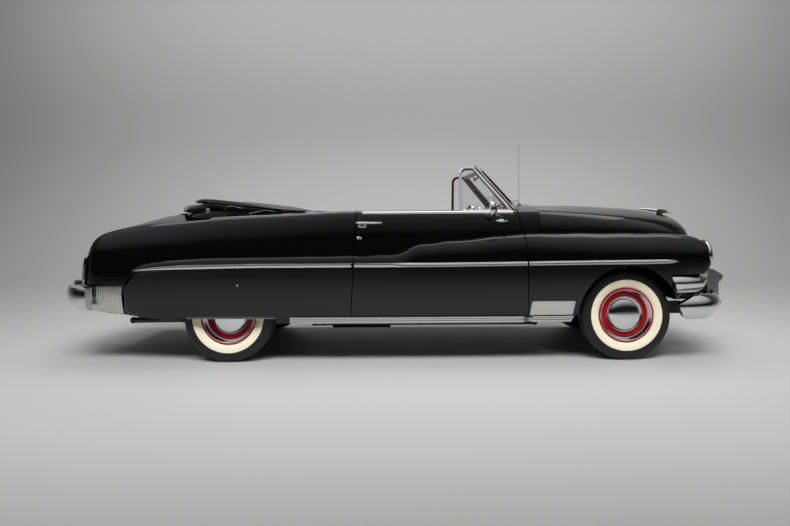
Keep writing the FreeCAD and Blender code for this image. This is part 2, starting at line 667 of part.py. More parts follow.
def wheel(x, y, side):
    """A pressed wheel: well-base rim, dished disc and domed hubcap, bored for its spindle."""
    half = rim_width / 2
    bore = spindle_radius + spindle_clearance
    rim = turned(x, y, side, [
        (-half, rim_radius), (-half, rim_radius - 8), (-half + 14, rim_radius - 26), (-20, rim_radius - 30),
        (20, rim_radius - 30), (half - 16, rim_radius - 20), (half, rim_radius - 8), (half, rim_radius),
    ])
    disc = turned(x, y, side, [
        (-8, bore), (disc_offset, bore), (disc_offset, hubcap_radius), (12, rim_radius - 28),
        (4, rim_radius - 28), (disc_offset - 10, hubcap_radius - 8), (disc_offset - 10, 60), (-8, 60),
    ])
    dome_start = Vector(x, y + side * disc_offset, tyre_radius + hubcap_radius)
    dome_mid = Vector(x, y + side * (disc_offset + 0.80 * hubcap_height), tyre_radius + 0.62 * hubcap_radius)
    dome_top = Vector(x, y + side * (disc_offset + hubcap_height), tyre_radius)
    inner_top = Vector(x, y + side * (disc_offset + hubcap_height - 8), tyre_radius)
    inner_mid = Vector(x, y + side * (disc_offset + 0.80 * hubcap_height - 8), tyre_radius + 0.58 * hubcap_radius)
    inner_start = Vector(x, y + side * disc_offset, tyre_radius + hubcap_radius - 12)
    cap_face = Part.Face(Part.Wire([
        spline_edge([dome_start, dome_mid, dome_top]), Part.makeLine(dome_top, inner_top),
        spline_edge([inner_top, inner_mid, inner_start]), Part.makeLine(inner_start, dome_start),
    ]))
    cap = cap_face.revolve(Vector(x, y, tyre_radius), Vector(0, 1, 0), 360)
    return fused(rim, disc, cap)


wheel_places = {
    "front_left": (front_axle_x, front_track / 2, 1),
    "front_right": (front_axle_x, -front_track / 2, -1),
    "rear_left": (rear_axle_x, rear_track / 2, 1),
    "rear_right": (rear_axle_x, -rear_track / 2, -1),
}
for corner, (x, y, side) in wheel_places.items():
    export("tyre_" + corner, tyre(x, y))
    export("wheel_" + corner, wheel(x, y, side))

# Front suspension and steering knuckles
knuckle_low_z = 216.0
knuckle_high_z = 421.0
backing_radius = 140.0
spindle_end_y = front_track / 2 + disc_offset + hubcap_height - 16
spindle = rod(Vector(front_axle_x, kingpin_y, tyre_radius), Vector(front_axle_x, spindle_end_y, tyre_radius), spindle_radius)
upright = rod(Vector(front_axle_x, kingpin_y, knuckle_low_z), Vector(front_axle_x, kingpin_y, knuckle_high_z + 6), kingpin_radius)
backing_y = front_track / 2 - 62
backing = rod(
    Vector(front_axle_x, backing_y, tyre_radius), Vector(front_axle_x, backing_y + 44, tyre_radius), backing_radius)
steering_arm = box(front_axle_x - 150, front_axle_x, kingpin_y - 16, kingpin_y + 4, knuckle_low_z, knuckle_low_z + 22)
knuckle = fused(spindle, upright, backing, steering_arm)
export("knuckle_left", knuckle)
export("knuckle_right", mirrored(knuckle))

# Chassis frame: two side rails that rise over the axles, with cross members
rail_y = 370.0
rail_width = 70.0
rail_low_z = 215.0
rail_height = 95.0
front_rail_z = 300.0
rear_rail_z = 400.0
rail_line = [
    (front_axle_x + 560, front_rail_z), (front_axle_x - 430, front_rail_z), (front_axle_x - 700, rail_low_z),
    (rear_axle_x + 620, rail_low_z), (rear_axle_x + 330, rear_rail_z), (rear_axle_x - 420, rear_rail_z),
    (rear_axle_x - 1080, rear_rail_z - 60),
]
rail = side_prism(
    rail_line + [(x, z + (rail_height if z < rear_rail_z - 70 else 62)) for x, z in reversed(rail_line)],
    rail_y, rail_y + rail_width)
cross_xs = [
    (front_axle_x + 480, front_rail_z + 15), (front_axle_x - 900, rail_low_z + 15), (0, rail_low_z + 15),
    (rear_axle_x + 640, rail_low_z + 15), (rear_axle_x - 1000, rear_rail_z - 50),
]
crosses = [box(x - 40, x + 40, -rail_y - 5, rail_y + 5, z, z + 60) for x, z in cross_xs]
export("chassis_frame", fused(rail, mirrored(rail), *crosses))

# Front suspension: cross member, arms to the kingpin and coil springs
arm_y = rail_y + 10
cross_member = box(front_axle_x - 60, front_axle_x + 60, -rail_y - rail_width, rail_y + rail_width, 205, front_rail_z)


def arm(z, height):
    """A wishbone, wide at its pivots and narrow at the kingpin."""
    pts = [
        (front_axle_x - 90, arm_y), (front_axle_x + 90, arm_y), (front_axle_x + 24, kingpin_y), (front_axle_x - 24, kingpin_y)]
    foot = Vector(front_axle_x, kingpin_y, z)
    boss = rod(foot, foot + Vector(0, 0, height), kingpin_radius + 12)
    bore = rod(foot - Vector(0, 0, 1), foot + Vector(0, 0, height + 1), kingpin_radius + soft_gap)
    return fused(plan_prism(pts, z, z + height), boss).cut(bore)


upper_arm_z = front_rail_z + rail_height + 2
lower_arm_z = 250.0
spring = Part.makeCylinder(50, upper_arm_z - lower_arm_z, Vector(front_axle_x, rail_y + 130, lower_arm_z))
arms = fused(arm(lower_arm_z, 30), arm(upper_arm_z, 24), spring)
export("front_suspension", fused(cross_member, arms, mirrored(arms)))

# Rear axle with its differential, leaf springs and drums' backing plates
axle_tube_radius = 38.0
rear_hub_y = rear_track / 2
axle_tube = rod(Vector(rear_axle_x, 0, tyre_radius), Vector(rear_axle_x, rear_hub_y - 20, tyre_radius), axle_tube_radius)
axle_end = rod(Vector(rear_axle_x, 0, tyre_radius), Vector(rear_axle_x, rear_hub_y + disc_offset + 26, tyre_radius), spindle_radius)
rear_drum = rod(
    Vector(rear_axle_x, rear_hub_y - 62, tyre_radius), Vector(rear_axle_x, rear_hub_y - 18, tyre_radius), backing_radius)
differential = Part.makeSphere(130, Vector(rear_axle_x, 0, tyre_radius))
leaf_y = 520.0
leaf_path = [(rear_axle_x + 700, 255), (rear_axle_x, 292), (rear_axle_x - 700, 330)]
leaf = side_prism(leaf_path + [(x, z + 26) for x, z in reversed(leaf_path)], leaf_y, leaf_y + 60)
axle_seat = box(rear_axle_x - 60, rear_axle_x + 60, leaf_y, leaf_y + 60, 292, tyre_radius)
front_hanger = box(rear_axle_x + 660, rear_axle_x + 700, rail_y + rail_width, leaf_y + 60, rail_low_z + 20, 281)
rear_hanger = box(rear_axle_x - 700, rear_axle_x - 660, rail_y + rail_width, leaf_y + 60, 330, 430)
half_axle = fused(axle_tube, axle_end, rear_drum, leaf, axle_seat, front_hanger, rear_hanger)
export("rear_axle", fused(differential, half_axle, mirrored(half_axle)))

# Floor of the cabin, rising in a ramp under the rear seat to the trunk's floor
floor_half_width = door_inner_y - 20
ramp_foot_x = rear_axle_x + 623
floor_top_z = floor_z + floor_thickness
tunnel_half_width = 150.0
tunnel_height = 90.0
floor_main = box(ramp_foot_x, cabin_front_x + 40, -floor_half_width, floor_half_width, floor_z, floor_top_z)
floor_sides = both(box(rear_axle_x + 421, ramp_foot_x, rear_well_inner_y, floor_half_width, floor_z, floor_top_z))
ramp = side_prism([
    (ramp_foot_x, floor_z), (cabin_rear_x, trunk_floor_z), (cabin_rear_x, trunk_floor_z + floor_thickness),
    (ramp_foot_x, floor_top_z),
], -rear_well_inner_y, rear_well_inner_y)
tunnel = box(ramp_foot_x - 60, cabin_front_x + 40, -tunnel_half_width, tunnel_half_width, floor_z, floor_z + tunnel_height)
tunnel_room = box(
    ramp_foot_x, cabin_front_x + 41, 10 - tunnel_half_width, tunnel_half_width - 10, 0, floor_z + tunnel_height - 10)
trunk_floor = box(
    rear_wall_x + panel_skin, cabin_rear_x, -quarter_inner_y, quarter_inner_y, trunk_floor_z, trunk_floor_z + floor_thickness)
floor_pan = fused(floor_main, *floor_sides.Solids, ramp, tunnel, trunk_floor).cut(tunnel_room)
export("floor_pan", floor_pan)

# Engine as one plain block on the rails
engine_front_x = front_axle_x + 260
engine_rear_x = front_axle_x - 560
engine = box(engine_rear_x, engine_front_x, -230, 230, front_rail_z + rail_height + 40, 930)
mounts = box(front_axle_x - 200, front_axle_x - 120, -rail_y - 40, rail_y + 40, front_rail_z + rail_height, front_rail_z + rail_height + 60)
gearbox = box(engine_rear_x - 420, engine_rear_x + 10, -120, 120, front_rail_z + 60, 700).common(
    box(cabin_front_x + 70, 3000, -500, 500, 0, 2000))
export("engine", fused(engine, mounts, gearbox))

# Exhaust, hung under the cross members, then over the axle and out at the right rear
pipe_radius = 22.0
muffler_radius = 55.0
pipe_y = -250.0
pipe_z = rail_low_z + 15 - pipe_radius - soft_gap
tail_y = -480.0
pipe_points = [
    Vector(engine_rear_x - 40, pipe_y, pipe_z), Vector(rear_axle_x + 560, pipe_y, pipe_z),
    Vector(rear_axle_x + 260, pipe_y, 425), Vector(rear_axle_x - 120, pipe_y, 425),
    Vector(rear_axle_x - 360, -330, 300), Vector(rear_axle_x - 460, tail_y, 275),
    Vector(rear_axle_x - 860, tail_y, 270),
]
pipes = [bar_between(a, b, pipe_radius) for a, b in zip(pipe_points, pipe_points[1:])]
muffler = rod(Vector(-70, pipe_y, pipe_z + 14), Vector(-550, pipe_y, pipe_z + 14), muffler_radius)
export("exhaust", fused(muffler, *pipes))

# Fuel tank under the trunk floor
fuel_tank = box(rear_axle_x - 880, rear_axle_x - 437, -330, 330, 262, trunk_floor_z - soft_gap)
export("fuel_tank", fuel_tank)

# Front bumper: a curved blade with its guards and brackets
blade_low_z = 318.0
blade_high_z = 500.0
blade_depth = 72.0
front_blade_path = [(2600, 0), (2590, 300), (2548, 560), (2462, 760), (2340, 900), (2225, 950), (2087, 972)]
front_blade = bent_bar(front_blade_path, [
    (64, blade_low_z), (18, blade_low_z + 42), (0, blade_low_z + 94), (14, blade_high_z - 38), (60, blade_high_z),
], blade_depth, front_axle_x)
tip_above = side_prism([
    (2040, 600), (2290, 600), (2230, blade_high_z), (2087, 440), (2070, 415), (2040, 415)], 850, 1000)
tip_below = side_prism([
    (2040, 200), (2200, 200), (2160, blade_low_z), (2118, 345), (2092, 395), (2040, 395)], 850, 1000)
front_blade = front_blade.cut(fused(tip_above, mirrored(tip_above))).cut(fused(tip_below, mirrored(tip_below)))
guard_y = 400.0
guard_half_width = 45.0
guard = side_prism([
    (2500, 430), (2575, 400), (2590, 430), (2590, 554), (2610, 565), (overall_length / 2, 593), (2621, 611),
    (2543, 656), (2500, 662),
], guard_y - guard_half_width, guard_y + guard_half_width)
bracket = box(front_axle_x + 560, 2540, rail_y, rail_y + 60, front_rail_z + 15, front_rail_z + 80)
export("front_bumper", fused(front_blade, guard, bracket, mirrored(guard), mirrored(bracket)))

# Rear bumper: a blade with a ledge along its top, round the corners, with two low guards
rear_low_z = 398.0
rear_high_z = 572.0
rear_depth = 88.0
rear_blade_path = [
    (-2618, 0), (-2615, 300), (-2596, 560), (-2498, 780), (-2410, 890), (-2340, 935), (-2288, 950)]
rear_blade = bent_bar(rear_blade_path, [
    (80, rear_low_z), (24, rear_low_z + 30), (0, rear_low_z + 84), (2, rear_high_z - 28), (14, rear_high_z),
], rear_depth, rear_axle_x)
rear_guard = side_prism([
    (-2540, 430), (-2600, 415), (-overall_length / 2, 470), (-overall_length / 2, 560), (-2606, 592), (-2540, 592),
], guard_y - guard_half_width, guard_y + guard_half_width)
rear_bracket = fused(
    box(-2550, rear_axle_x - 1080, rail_y, rail_y + 60, rear_rail_z - 55, rear_rail_z - 5),
    box(-2550, -2515, rail_y, rail_y + 60, rear_rail_z - 55, rear_low_z + 50),
)
export("rear_bumper", fused(rear_blade, rear_guard, rear_bracket, mirrored(rear_guard), mirrored(rear_bracket)))

# Grille: the bar with upright teeth behind it and a stay to the nose
tooth_rear_x = 2262.0
tooth_step = 65.0
tooth_half_width = 14.0
grille_left = box(tooth_rear_x + 8, 2362, 300, 340, grille_ridge_z, 690)
for number in range(1, 11):
    tooth_y = number * tooth_step
    tooth_front_x = 2364 - 34 * (number / 10) ** 2
    tooth = side_prism([
        (tooth_rear_x, 470), (tooth_front_x - 30, 480), (tooth_front_x, 530), (tooth_front_x, 640),
        (tooth_front_x - 30, 688), (tooth_rear_x, 692),
    ], tooth_y - tooth_half_width, tooth_y + tooth_half_width)
    grille_left = fused(grille_left, tooth)
grille_left = grille_left.cut(lower_left).cut(nose_left)
export("grille", fused(grille_bar, grille_left, mirrored(grille_left)))

# Headlamps in the fender fronts
lamp_y = 720.0
lamp_z = 778.0
lamp_radius = 98.0
lamp_back_x = fender_front_x
lamp = rod(Vector(lamp_back_x, lamp_y, lamp_z), Vector(lamp_back_x + 24, lamp_y, lamp_z), lamp_radius)
export("headlamps", both(lamp))

# Hood ornament
ornament = side_prism([
    (2068, 1128), (2200, 1124), (2330, 1108), (2380, 1112), (2340, 1132), (2230, 1146), (2150, 1142),
], -14, 14).cut(hood_outer)
export("hood_ornament", ornament)

# Windshield: two flat panes in a V between raked pillars, with a bar at the middle
pane_foot_x = 920.0
pane_foot_mid_x = 978.0
pane_head_x = 619.0
pane_head_mid_x = 718.0
pillar_foot_y = 680.0
pillar_head_y = 600.0
pillar_foot_z = 1118.0
pillar_head_z = 1462.0
mid_foot_z = 1190.0
mid_head_z = 1477.0
foot_side = Vector(pane_foot_x, pillar_foot_y, pillar_foot_z)
foot_mid = Vector(pane_foot_mid_x, 0, mid_foot_z)
head_side = Vector(pane_head_x, pillar_head_y, pillar_head_z)
head_mid = Vector(pane_head_mid_x, 0, mid_head_z)


def slab(corners, offset, thickness):
    """A flat slab on four corners, pushed along its face's normal."""
    a, b, c = corners[0], corners[1], corners[2]
    normal = (b - a).cross(c - a)
    normal.normalize()
    fourth = corners[3] - normal * (corners[3] - a).dot(normal)
    pts = [v + normal * offset for v in (a, b, c, fourth)]
    return Part.Face(Part.makePolygon(pts + pts[:1])).extrude(normal * thickness)


pane = slab([foot_side, foot_mid, head_mid, head_side], -3, 6).common(box(0, 2000, 0, 900, 1000, 1600))
frame_radius = 17.0
frame_left = fused(
    bar_between(foot_side, head_side, frame_radius), bar_between(head_side, head_mid, frame_radius),
    bar_between(foot_side, foot_mid, 14), bar_between(foot_mid, head_mid, 11),
)
pillar_shoe = box(pane_foot_x - 30, pane_foot_x + 30, pillar_foot_y - 20, pillar_foot_y + 20, 1070, pillar_foot_z)
frame_full = fused(frame_left, pillar_shoe, mirrored(fused(frame_left, pillar_shoe)))
upper_both = fused(upper_left, mirrored(upper_left)).common(box(cowl_rear_x - 60, hood_rear_x, -900, 900, 1000, 1400))
glass = both(whole(pane.cut(frame_full).cut(upper_left)))
export("windshield_frame", frame_full.cut(upper_both))
export("windshield_glass", glass)

# Vent windows, which ride on the doors
vent_rear_x = 494.0
vent_foot_x = 880.0
vent_head_x = 594.0
vent_foot_y = 778.0
vent_head_y = 642.0
vent_foot_z = belt_height - 6
vent_head_z = 1462.0
vent_bar = 9.0
vent_front = Vector(vent_foot_x, vent_foot_y, vent_foot_z)
vent_rear = Vector(vent_rear_x, vent_foot_y, vent_foot_z)
vent_top_rear = Vector(vent_rear_x, vent_head_y, vent_head_z)
vent_top_front = Vector(vent_head_x, vent_head_y, vent_head_z)
vent_corners = [vent_front, vent_rear, vent_top_rear, vent_top_front]
vent_pane = slab(vent_corners, -3, 6)
vent_window = fused(vent_pane, *[
    bar_between(a, b, vent_bar) for a, b in zip(vent_corners, vent_corners[1:] + vent_corners[:1])
]).cut(door_left)
export("vent_window_left", vent_window)
export("vent_window_right", mirrored(vent_window))

# Mirrors on the doors: a round head on a curved stalk
mirror_x = 736.0
mirror_y = 1000.0
mirror_z = 1140.0
mirror_head_radius = 58.0
head = Part.makeCone(mirror_head_radius, mirror_head_radius * 0.55, 34, Vector(mirror_x - 14, mirror_y, mirror_z), Vector(1, 0, 0))
stalk_points = [Vector(770, 820, 1118), Vector(772, 868, 1128), Vector(760, 930, 1118), Vector(mirror_x + 4, mirror_y, mirror_z - 20)]
stalk = fused(*[bar_between(a, b, 7) for a, b in zip(stalk_points, stalk_points[1:])])
mirror = fused(head, stalk).cut(door_left)
export("mirror_left", mirror)
export("mirror_right", mirrored(mirror))

# Dashboard under the cowl, with the steering column
dash = side_prism([(750, 1060), (735, 1130), (765, 1210), (930, 1210), (930, 1000), (860, 920), (780, 920), (760, 1000)], 0, door_inner_y - 22)
dash = dash.common(upper_inner)
rake = math.radians(column_rake_deg)
column_way = Vector(math.cos(rake), 0, -math.sin(rake))
wheel_centre = Vector(steering_wheel_x, steering_wheel_y, steering_wheel_z)
column_radius = 24.0
column_start = wheel_centre + column_way * 62
column = Part.makeCylinder(column_radius, 470, column_start, column_way)
column_bracket = box(800, 840, steering_wheel_y - 20, steering_wheel_y + 20, 850, 930)
export("dashboard", fused(dash, mirrored(dash), column, column_bracket))

# Steering wheel: rim, three spokes and hub on the column's axis
ring = Part.makeTorus(steering_wheel_radius, steering_rim_radius, wheel_centre, column_way)
hub = Part.makeCylinder(34, 62 - soft_gap, wheel_centre, column_way)
across = Vector(0, 1, 0)
upward = column_way.cross(across)
spokes = []
for angle in (0, 180, 270):
    a = math.radians(angle)
    tip = wheel_centre + (across * math.cos(a) + upward * math.sin(a)) * steering_wheel_radius
    spokes.append(rod(wheel_centre + column_way * 14, tip, 8))
export("steering_wheel", fused(ring, hub, *spokes))

# Seats: a box under the front one, then plain cushions
seat_half_width = 690.0
front_seat_frame = box(-90, 360, -seat_half_width + 60, seat_half_width - 60, floor_z + 90, 520)
front_seat_frame = fused(
    front_seat_frame,
    box(-90, 360, 200, seat_half_width - 60, floor_z + floor_thickness, floor_z + 91),
    box(-90, 360, -seat_half_width + 60, -200, floor_z + floor_thickness, floor_z + 91),
)
export("front_seat_frame", front_seat_frame)
cushion_low = 520 + soft_gap
export("front_seat_cushion", box(-40, 420, -seat_half_width, seat_half_width, cushion_low, 690))
back_outline = [(-170, cushion_low), (-40 - soft_gap, cushion_low), (-40 - soft_gap, 700), (-110, 1150), (-215, 1150), (-215, 1100)]
half_back = side_prism(back_outline, 4, seat_half_width)
export("front_seat_backs", both(half_back))
rear_seat_low = floor_top_z + soft_gap
rear_seat_top = 640.0
rear_seat_base = side_prism([
    (-400, rear_seat_low), (ramp_foot_x, rear_seat_low), (cabin_rear_x + 12, trunk_floor_z + 6),
    (cabin_rear_x + 12, rear_seat_top), (-400, rear_seat_top),
], -seat_half_width, seat_half_width)
house_room = box(cabin_rear_x - 100, rear_axle_x + 440, rear_well_inner_y - 5, 1000, 0, 900)
tunnel_clear = box(-1000, 0, -tunnel_half_width - soft_gap, tunnel_half_width + soft_gap, 0, floor_z + tunnel_height + soft_gap)
rear_seat_base = rear_seat_base.cut(house_room).cut(mirrored(house_room)).cut(tunnel_clear)
export("rear_seat_cushion", rear_seat_base)
rear_back = side_prism([(-892, 640 + soft_gap), (-700, 640 + soft_gap), (-800, 1120), (-892, 1120)], -610, 610)
export("rear_seat_back", rear_back)

# Folded top: the bundle of fabric and bows in its well
top_side = side_prism([
    (cabin_rear_x - 6, well_floor_z + 40), (cabin_rear_x - 6, 1150), (-1150, 1200), (-1560, 1246), (-1700, 1240),
    (-1800, 1190), (-1800, 1060), (-1700, 900), (-1560, well_floor_z + soft_gap), (-1000, well_floor_z + soft_gap),
], 0, 900)
top_half = top_side.common(well_outline(-14.0, well_floor_z, 1300))
export("folded_top", fused(top_half, mirrored(top_half)))

# Tail lamps: tall lenses on the rear corners
tail_lamp = side_prism([(-2426, 578), (-2408, 812), (-2300, 812), (-2300, 578)], 700, 745)
export("tail_lamps", both(whole(tail_lamp.cut(upper_left).cut(lower_left))))

# Antenna on the left fender
antenna_x = 1160.0
antenna_y = 850.0
antenna_z = 950.0
antenna_top_z = 1790.0
antenna = fused(
    rod(Vector(antenna_x, antenna_y, antenna_z), Vector(antenna_x, antenna_y, antenna_z + 40), 12),
    rod(Vector(antenna_x, antenna_y, antenna_z), Vector(antenna_x, antenna_y, antenna_top_z), 3),
).cut(front_fender_left)
export("antenna", antenna)
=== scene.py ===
import bpy
import bmesh
import math
from mathutils import Matrix, Vector


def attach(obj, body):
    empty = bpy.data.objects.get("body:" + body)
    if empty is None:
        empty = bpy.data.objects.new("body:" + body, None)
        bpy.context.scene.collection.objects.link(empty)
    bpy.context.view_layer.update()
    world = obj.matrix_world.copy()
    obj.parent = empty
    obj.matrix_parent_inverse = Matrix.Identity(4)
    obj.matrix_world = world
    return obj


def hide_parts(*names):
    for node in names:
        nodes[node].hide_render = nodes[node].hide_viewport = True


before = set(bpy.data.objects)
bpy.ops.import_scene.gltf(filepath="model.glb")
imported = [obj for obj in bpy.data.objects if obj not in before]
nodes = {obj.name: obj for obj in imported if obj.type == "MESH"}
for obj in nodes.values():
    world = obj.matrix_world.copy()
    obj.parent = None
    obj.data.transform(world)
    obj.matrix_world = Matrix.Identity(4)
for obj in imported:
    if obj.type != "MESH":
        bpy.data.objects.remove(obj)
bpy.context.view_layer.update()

# Camera: level with the belt line, looking straight across the car from its right side.
# The lens is shifted a little, because the photograph was trimmed, and rolled by a quarter of a degree.
photo_width, focal_pixels, shift_pixels = 790.0, 700.0, (-27.0, -47.0)
lens = bpy.data.cameras.new("camera")
lens.sensor_width = 36.0
lens.lens = focal_pixels * 36.0 / photo_width
lens.shift_x = shift_pixels[0] / photo_width
lens.shift_y = shift_pixels[1] / photo_width
lens.clip_end = 200.0
camera = bpy.data.objects.new("camera", lens)
camera.matrix_world = (
    Matrix.Translation((0.1965, -6.1, 1.095))
    @ Matrix.Rotation(math.radians(0.275), 4, "Y")
    @ Matrix.Rotation(math.radians(90.0), 4, "X")
)
bpy.context.scene.collection.objects.link(camera)
bpy.context.scene.camera = camera
bpy.context.scene.view_settings.view_transform = "Standard"


# Floor: a wide matt sheet, pale grey, that keeps the car's soft shadow and curves up behind it as
# the backdrop. It is clear from its back, so that the car shows in views from behind and from below.
def linear(code):
    """An sRGB hex colour as linear red, green, blue and one."""
    values = [int(code[i:i + 2], 16) / 255.0 for i in (1, 3, 5)]
    return [v / 12.92 if v <= 0.04045 else ((v + 0.055) / 1.055) ** 2.4 for v in values] + [1.0]


def add(tree, kind, settings={}, values={}, links={}):
    """A shader node of a kind, with its settings, its input values, and its links from (node, output)."""
    node = tree.nodes.new("ShaderNode" + kind)
    for name, value in settings.items():
        setattr(node, name, value)
    for name, value in values.items():
        node.inputs[name].default_value = value
    for name, (source, output) in links.items():
        tree.links.new(source.outputs[output], node.inputs[name])
    return node


def blank(name):
    """A material with an empty node tree."""
    material = bpy.data.materials.new(name)
    material.use_nodes = True
    material.node_tree.nodes.clear()
    return material, material.node_tree


# Rolled floor paint gives a dull, even sheen with no grain that shows at this distance.
floor_finish, tree = blank("pale_floor_paint")
paint = add(tree, "BsdfPrincipled", values={"Base Color": linear("#b4b4b3"), "Roughness": 0.6})
clear = add(tree, "BsdfTransparent")
face = add(tree, "NewGeometry")
shader = add(tree, "MixShader", links={0: (face, "Backfacing"), 1: (paint, 0), 2: (clear, 0)})
add(tree, "OutputMaterial", links={"Surface": (shader, 0)})
floor_width, floor_run, front_edge = 70.0, 38.0, -16.0
flat_run, curve_run, curve_radius = 21.0, 4.7, 3.0
ground = bmesh.new()
bmesh.ops.create_grid(ground, x_segments=1, y_segments=60, size=0.5)
for vert in ground.verts:
    run_out = (vert.co.y + 0.5) * floor_run
    bend = min(max((run_out - flat_run) / curve_run, 0.0), 1.0) * math.pi / 2
    vert.co = (
        vert.co.x * floor_width,
        front_edge + min(run_out, flat_run) + curve_radius * math.sin(bend),
        curve_radius * (1.0 - math.cos(bend)) + max(run_out - flat_run - curve_run, 0.0),
    )
bmesh.ops.recalc_face_normals(ground, faces=ground.faces)
if sum(face.normal.z for face in ground.faces) < 0:
    bmesh.ops.reverse_faces(ground, faces=ground.faces)
ground_mesh = bpy.data.meshes.new("floor")
ground.to_mesh(ground_mesh)
ground_mesh.shade_smooth()
ground_mesh.materials.append(floor_finish)
floor = bpy.data.objects.new("floor", ground_mesh)
bpy.context.scene.collection.objects.link(floor)

# Studio light: a dim room with a wide soft box overhead, one over the camera and a row that washes
# the backdrop. Gloss and glass see a bright ceiling and dim walls, while matt surfaces get one even,
# low light.
world = bpy.data.worlds.new("studio")
bpy.context.scene.world = world
world.use_nodes = True
tree = world.node_tree
tree.nodes.clear()
coords = add(tree, "TexCoord")
height = add(tree, "SeparateXYZ", links={"Vector": (coords, "Generated")})
ceiling = add(tree, "MapRange", links={"Value": (height, "Z")}, values={
    "From Min": 0.22, "From Max": 0.85, "To Min": 0.012, "To Max": 0.75})
rays = add(tree, "LightPath")
level = add(tree, "Mix", {"data_type": "FLOAT"}, {"A": 0.10},
            {0: (rays, "Is Glossy Ray"), "B": (ceiling, 0)})
room = add(tree, "Background", values={"Color": linear("#f2f4f8")}, links={"Strength": (level, 0)})
add(tree, "OutputWorld", links={"Surface": (room, 0)})
for name, spot, target, size, watts, spread, reflected in (
    ("soft_box_overhead", (0.2, 0.9, 5.0), (0.2, 0.6, 0.0), (8.5, 3.6), 110.0, 150.0, True),
    ("soft_box_camera", (0.4, -5.0, 5.6), (0.2, -0.6, 0.5), (9.0, 2.4), 220.0, 80.0, False),
    ("soft_box_backdrop", (0.2, 3.6, 7.4), (0.2, 8.0, 1.6), (16.0, 1.2), 420.0, 150.0, True),
):
    lamp = bpy.data.lights.new(name, "AREA")
    lamp.shape = "RECTANGLE"
    lamp.size, lamp.size_y = size
    lamp.energy = watts
    lamp.spread = math.radians(spread)
    box = bpy.data.objects.new(name, lamp)
    box.location = spot
    box.rotation_euler = (Vector(target) - Vector(spot)).to_track_quat("-Z", "Y").to_euler()
    box.visible_glossy = reflected
    box.visible_transmission = reflected
    bpy.context.scene.collection.objects.link(box)


# Bodywork: fenders, doors, hood, lid and cowl of pressed steel, welded and bolted together, sprayed
# in gloss black enamel and polished flat, so that it is nearly all reflection.
def dress(material, *names):
    """Gives the CAD nodes a material."""
    for name in names:
        mesh = nodes[name].data
        mesh.materials.clear()
        mesh.materials.append(material)


# Polished enamel gives sharp, dark reflections that waver on an orange peel of 11 mm, drawn coarser
# than the real few millimetres so that it shows, under a haze in patches of 400 mm.
black_enamel, tree = blank("gloss_black_enamel")
coords = add(tree, "TexCoord")
peel = add(tree, "TexNoise", values={"Scale": 90.0, "Detail": 1.0}, links={"Vector": (coords, "Object")})
haze = add(tree, "TexNoise", values={"Scale": 2.5, "Detail": 3.0}, links={"Vector": (coords, "Object")})
gloss = add(tree, "MapRange", values={"To Min": 0.035, "To Max": 0.075}, links={"Value": (haze, 0)})
ripple = add(tree, "Bump", values={"Strength": 0.03, "Distance": 0.0004}, links={"Height": (peel, 0)})
shader = add(tree, "BsdfPrincipled", values={"Base Color": linear("#050506"), "IOR": 1.5},
             links={"Roughness": (gloss, 0), "Normal": (ripple, 0)})
add(tree, "OutputMaterial", links={"Surface": (shader, "BSDF")})
dress(black_enamel, "cowl", "front_fender_left", "front_fender_right", "nose_panel", "rear_quarter_left",
      "rear_quarter_right", "rear_deck", "sills", "fender_skirts", "door_left", "door_right", "hood",
      "trunk_lid")

# Chassis, springs and axle: channels and pressings of welded steel, dipped in satin black, and the
# engine under the hood, a rough iron casting in blue grey enamel.
# Dipped black gives a dull sheen with road dust in patches of 110 mm.
chassis_black, tree = blank("satin_chassis_black")
coords = add(tree, "TexCoord")
dust = add(tree, "TexNoise", values={"Scale": 9.0, "Detail": 6.0}, links={"Vector": (coords, "Object")})
tone = add(tree, "Mix", {"data_type": "RGBA"}, {"A": linear("#0b0b0b"), "B": linear("#1d1b19")},
           {0: (dust, 0)})
grit = add(tree, "Bump", values={"Strength": 0.25, "Distance": 0.002}, links={"Height": (dust, 0)})
shader = add(tree, "BsdfPrincipled", values={"Roughness": 0.55},
             links={"Base Color": (tone, 2), "Normal": (grit, 0)})
add(tree, "OutputMaterial", links={"Surface": (shader, "BSDF")})
dress(chassis_black, "chassis_frame", "floor_pan", "front_seat_frame", "front_suspension", "rear_axle",
      "knuckle_left", "knuckle_right", "fuel_tank")

# Painted iron gives a blue grey skin over the sand's grain, 6 mm here, drawn coarser than the real
# one so that it shows.
cast_iron, tree = blank("painted_cast_iron")
coords = add(tree, "TexCoord")
sand = add(tree, "TexNoise", values={"Scale": 160.0, "Detail": 4.0}, links={"Vector": (coords, "Object")})
tone = add(tree, "Mix", {"data_type": "RGBA"}, {"A": linear("#20262c"), "B": linear("#31383f")},
           {0: (sand, 0)})
grit = add(tree, "Bump", values={"Strength": 0.5, "Distance": 0.002}, links={"Height": (sand, 0)})
shader = add(tree, "BsdfPrincipled", values={"Roughness": 0.5, "Metallic": 0.3},
             links={"Base Color": (tone, 2), "Normal": (grit, 0)})
add(tree, "OutputMaterial", links={"Surface": (shader, "BSDF")})
dress(cast_iron, "engine")

# Exhaust: a drawn mild steel pipe and a rolled silencer, bare, hung under the floor.
# Bare pipe gives a dull grey with a brown heat bloom in patches of 200 mm along it.
pipe_steel, tree = blank("dull_pipe_steel")
coords = add(tree, "TexCoord")
bloom = add(tree, "TexNoise", values={"Scale": 5.0, "Detail": 5.0}, links={"Vector": (coords, "Object")})
tone = add(tree, "Mix", {"data_type": "RGBA"}, {"A": linear("#5a5753"), "B": linear("#3d322b")},
           {0: (bloom, 0)})
rough = add(tree, "MapRange", values={"To Min": 0.35, "To Max": 0.6}, links={"Value": (bloom, 0)})
shader = add(tree, "BsdfPrincipled", values={"Metallic": 1.0},
             links={"Base Color": (tone, 2), "Roughness": (rough, 0)})
add(tree, "OutputMaterial", links={"Surface": (shader, "BSDF")})
dress(pipe_steel, "exhaust")

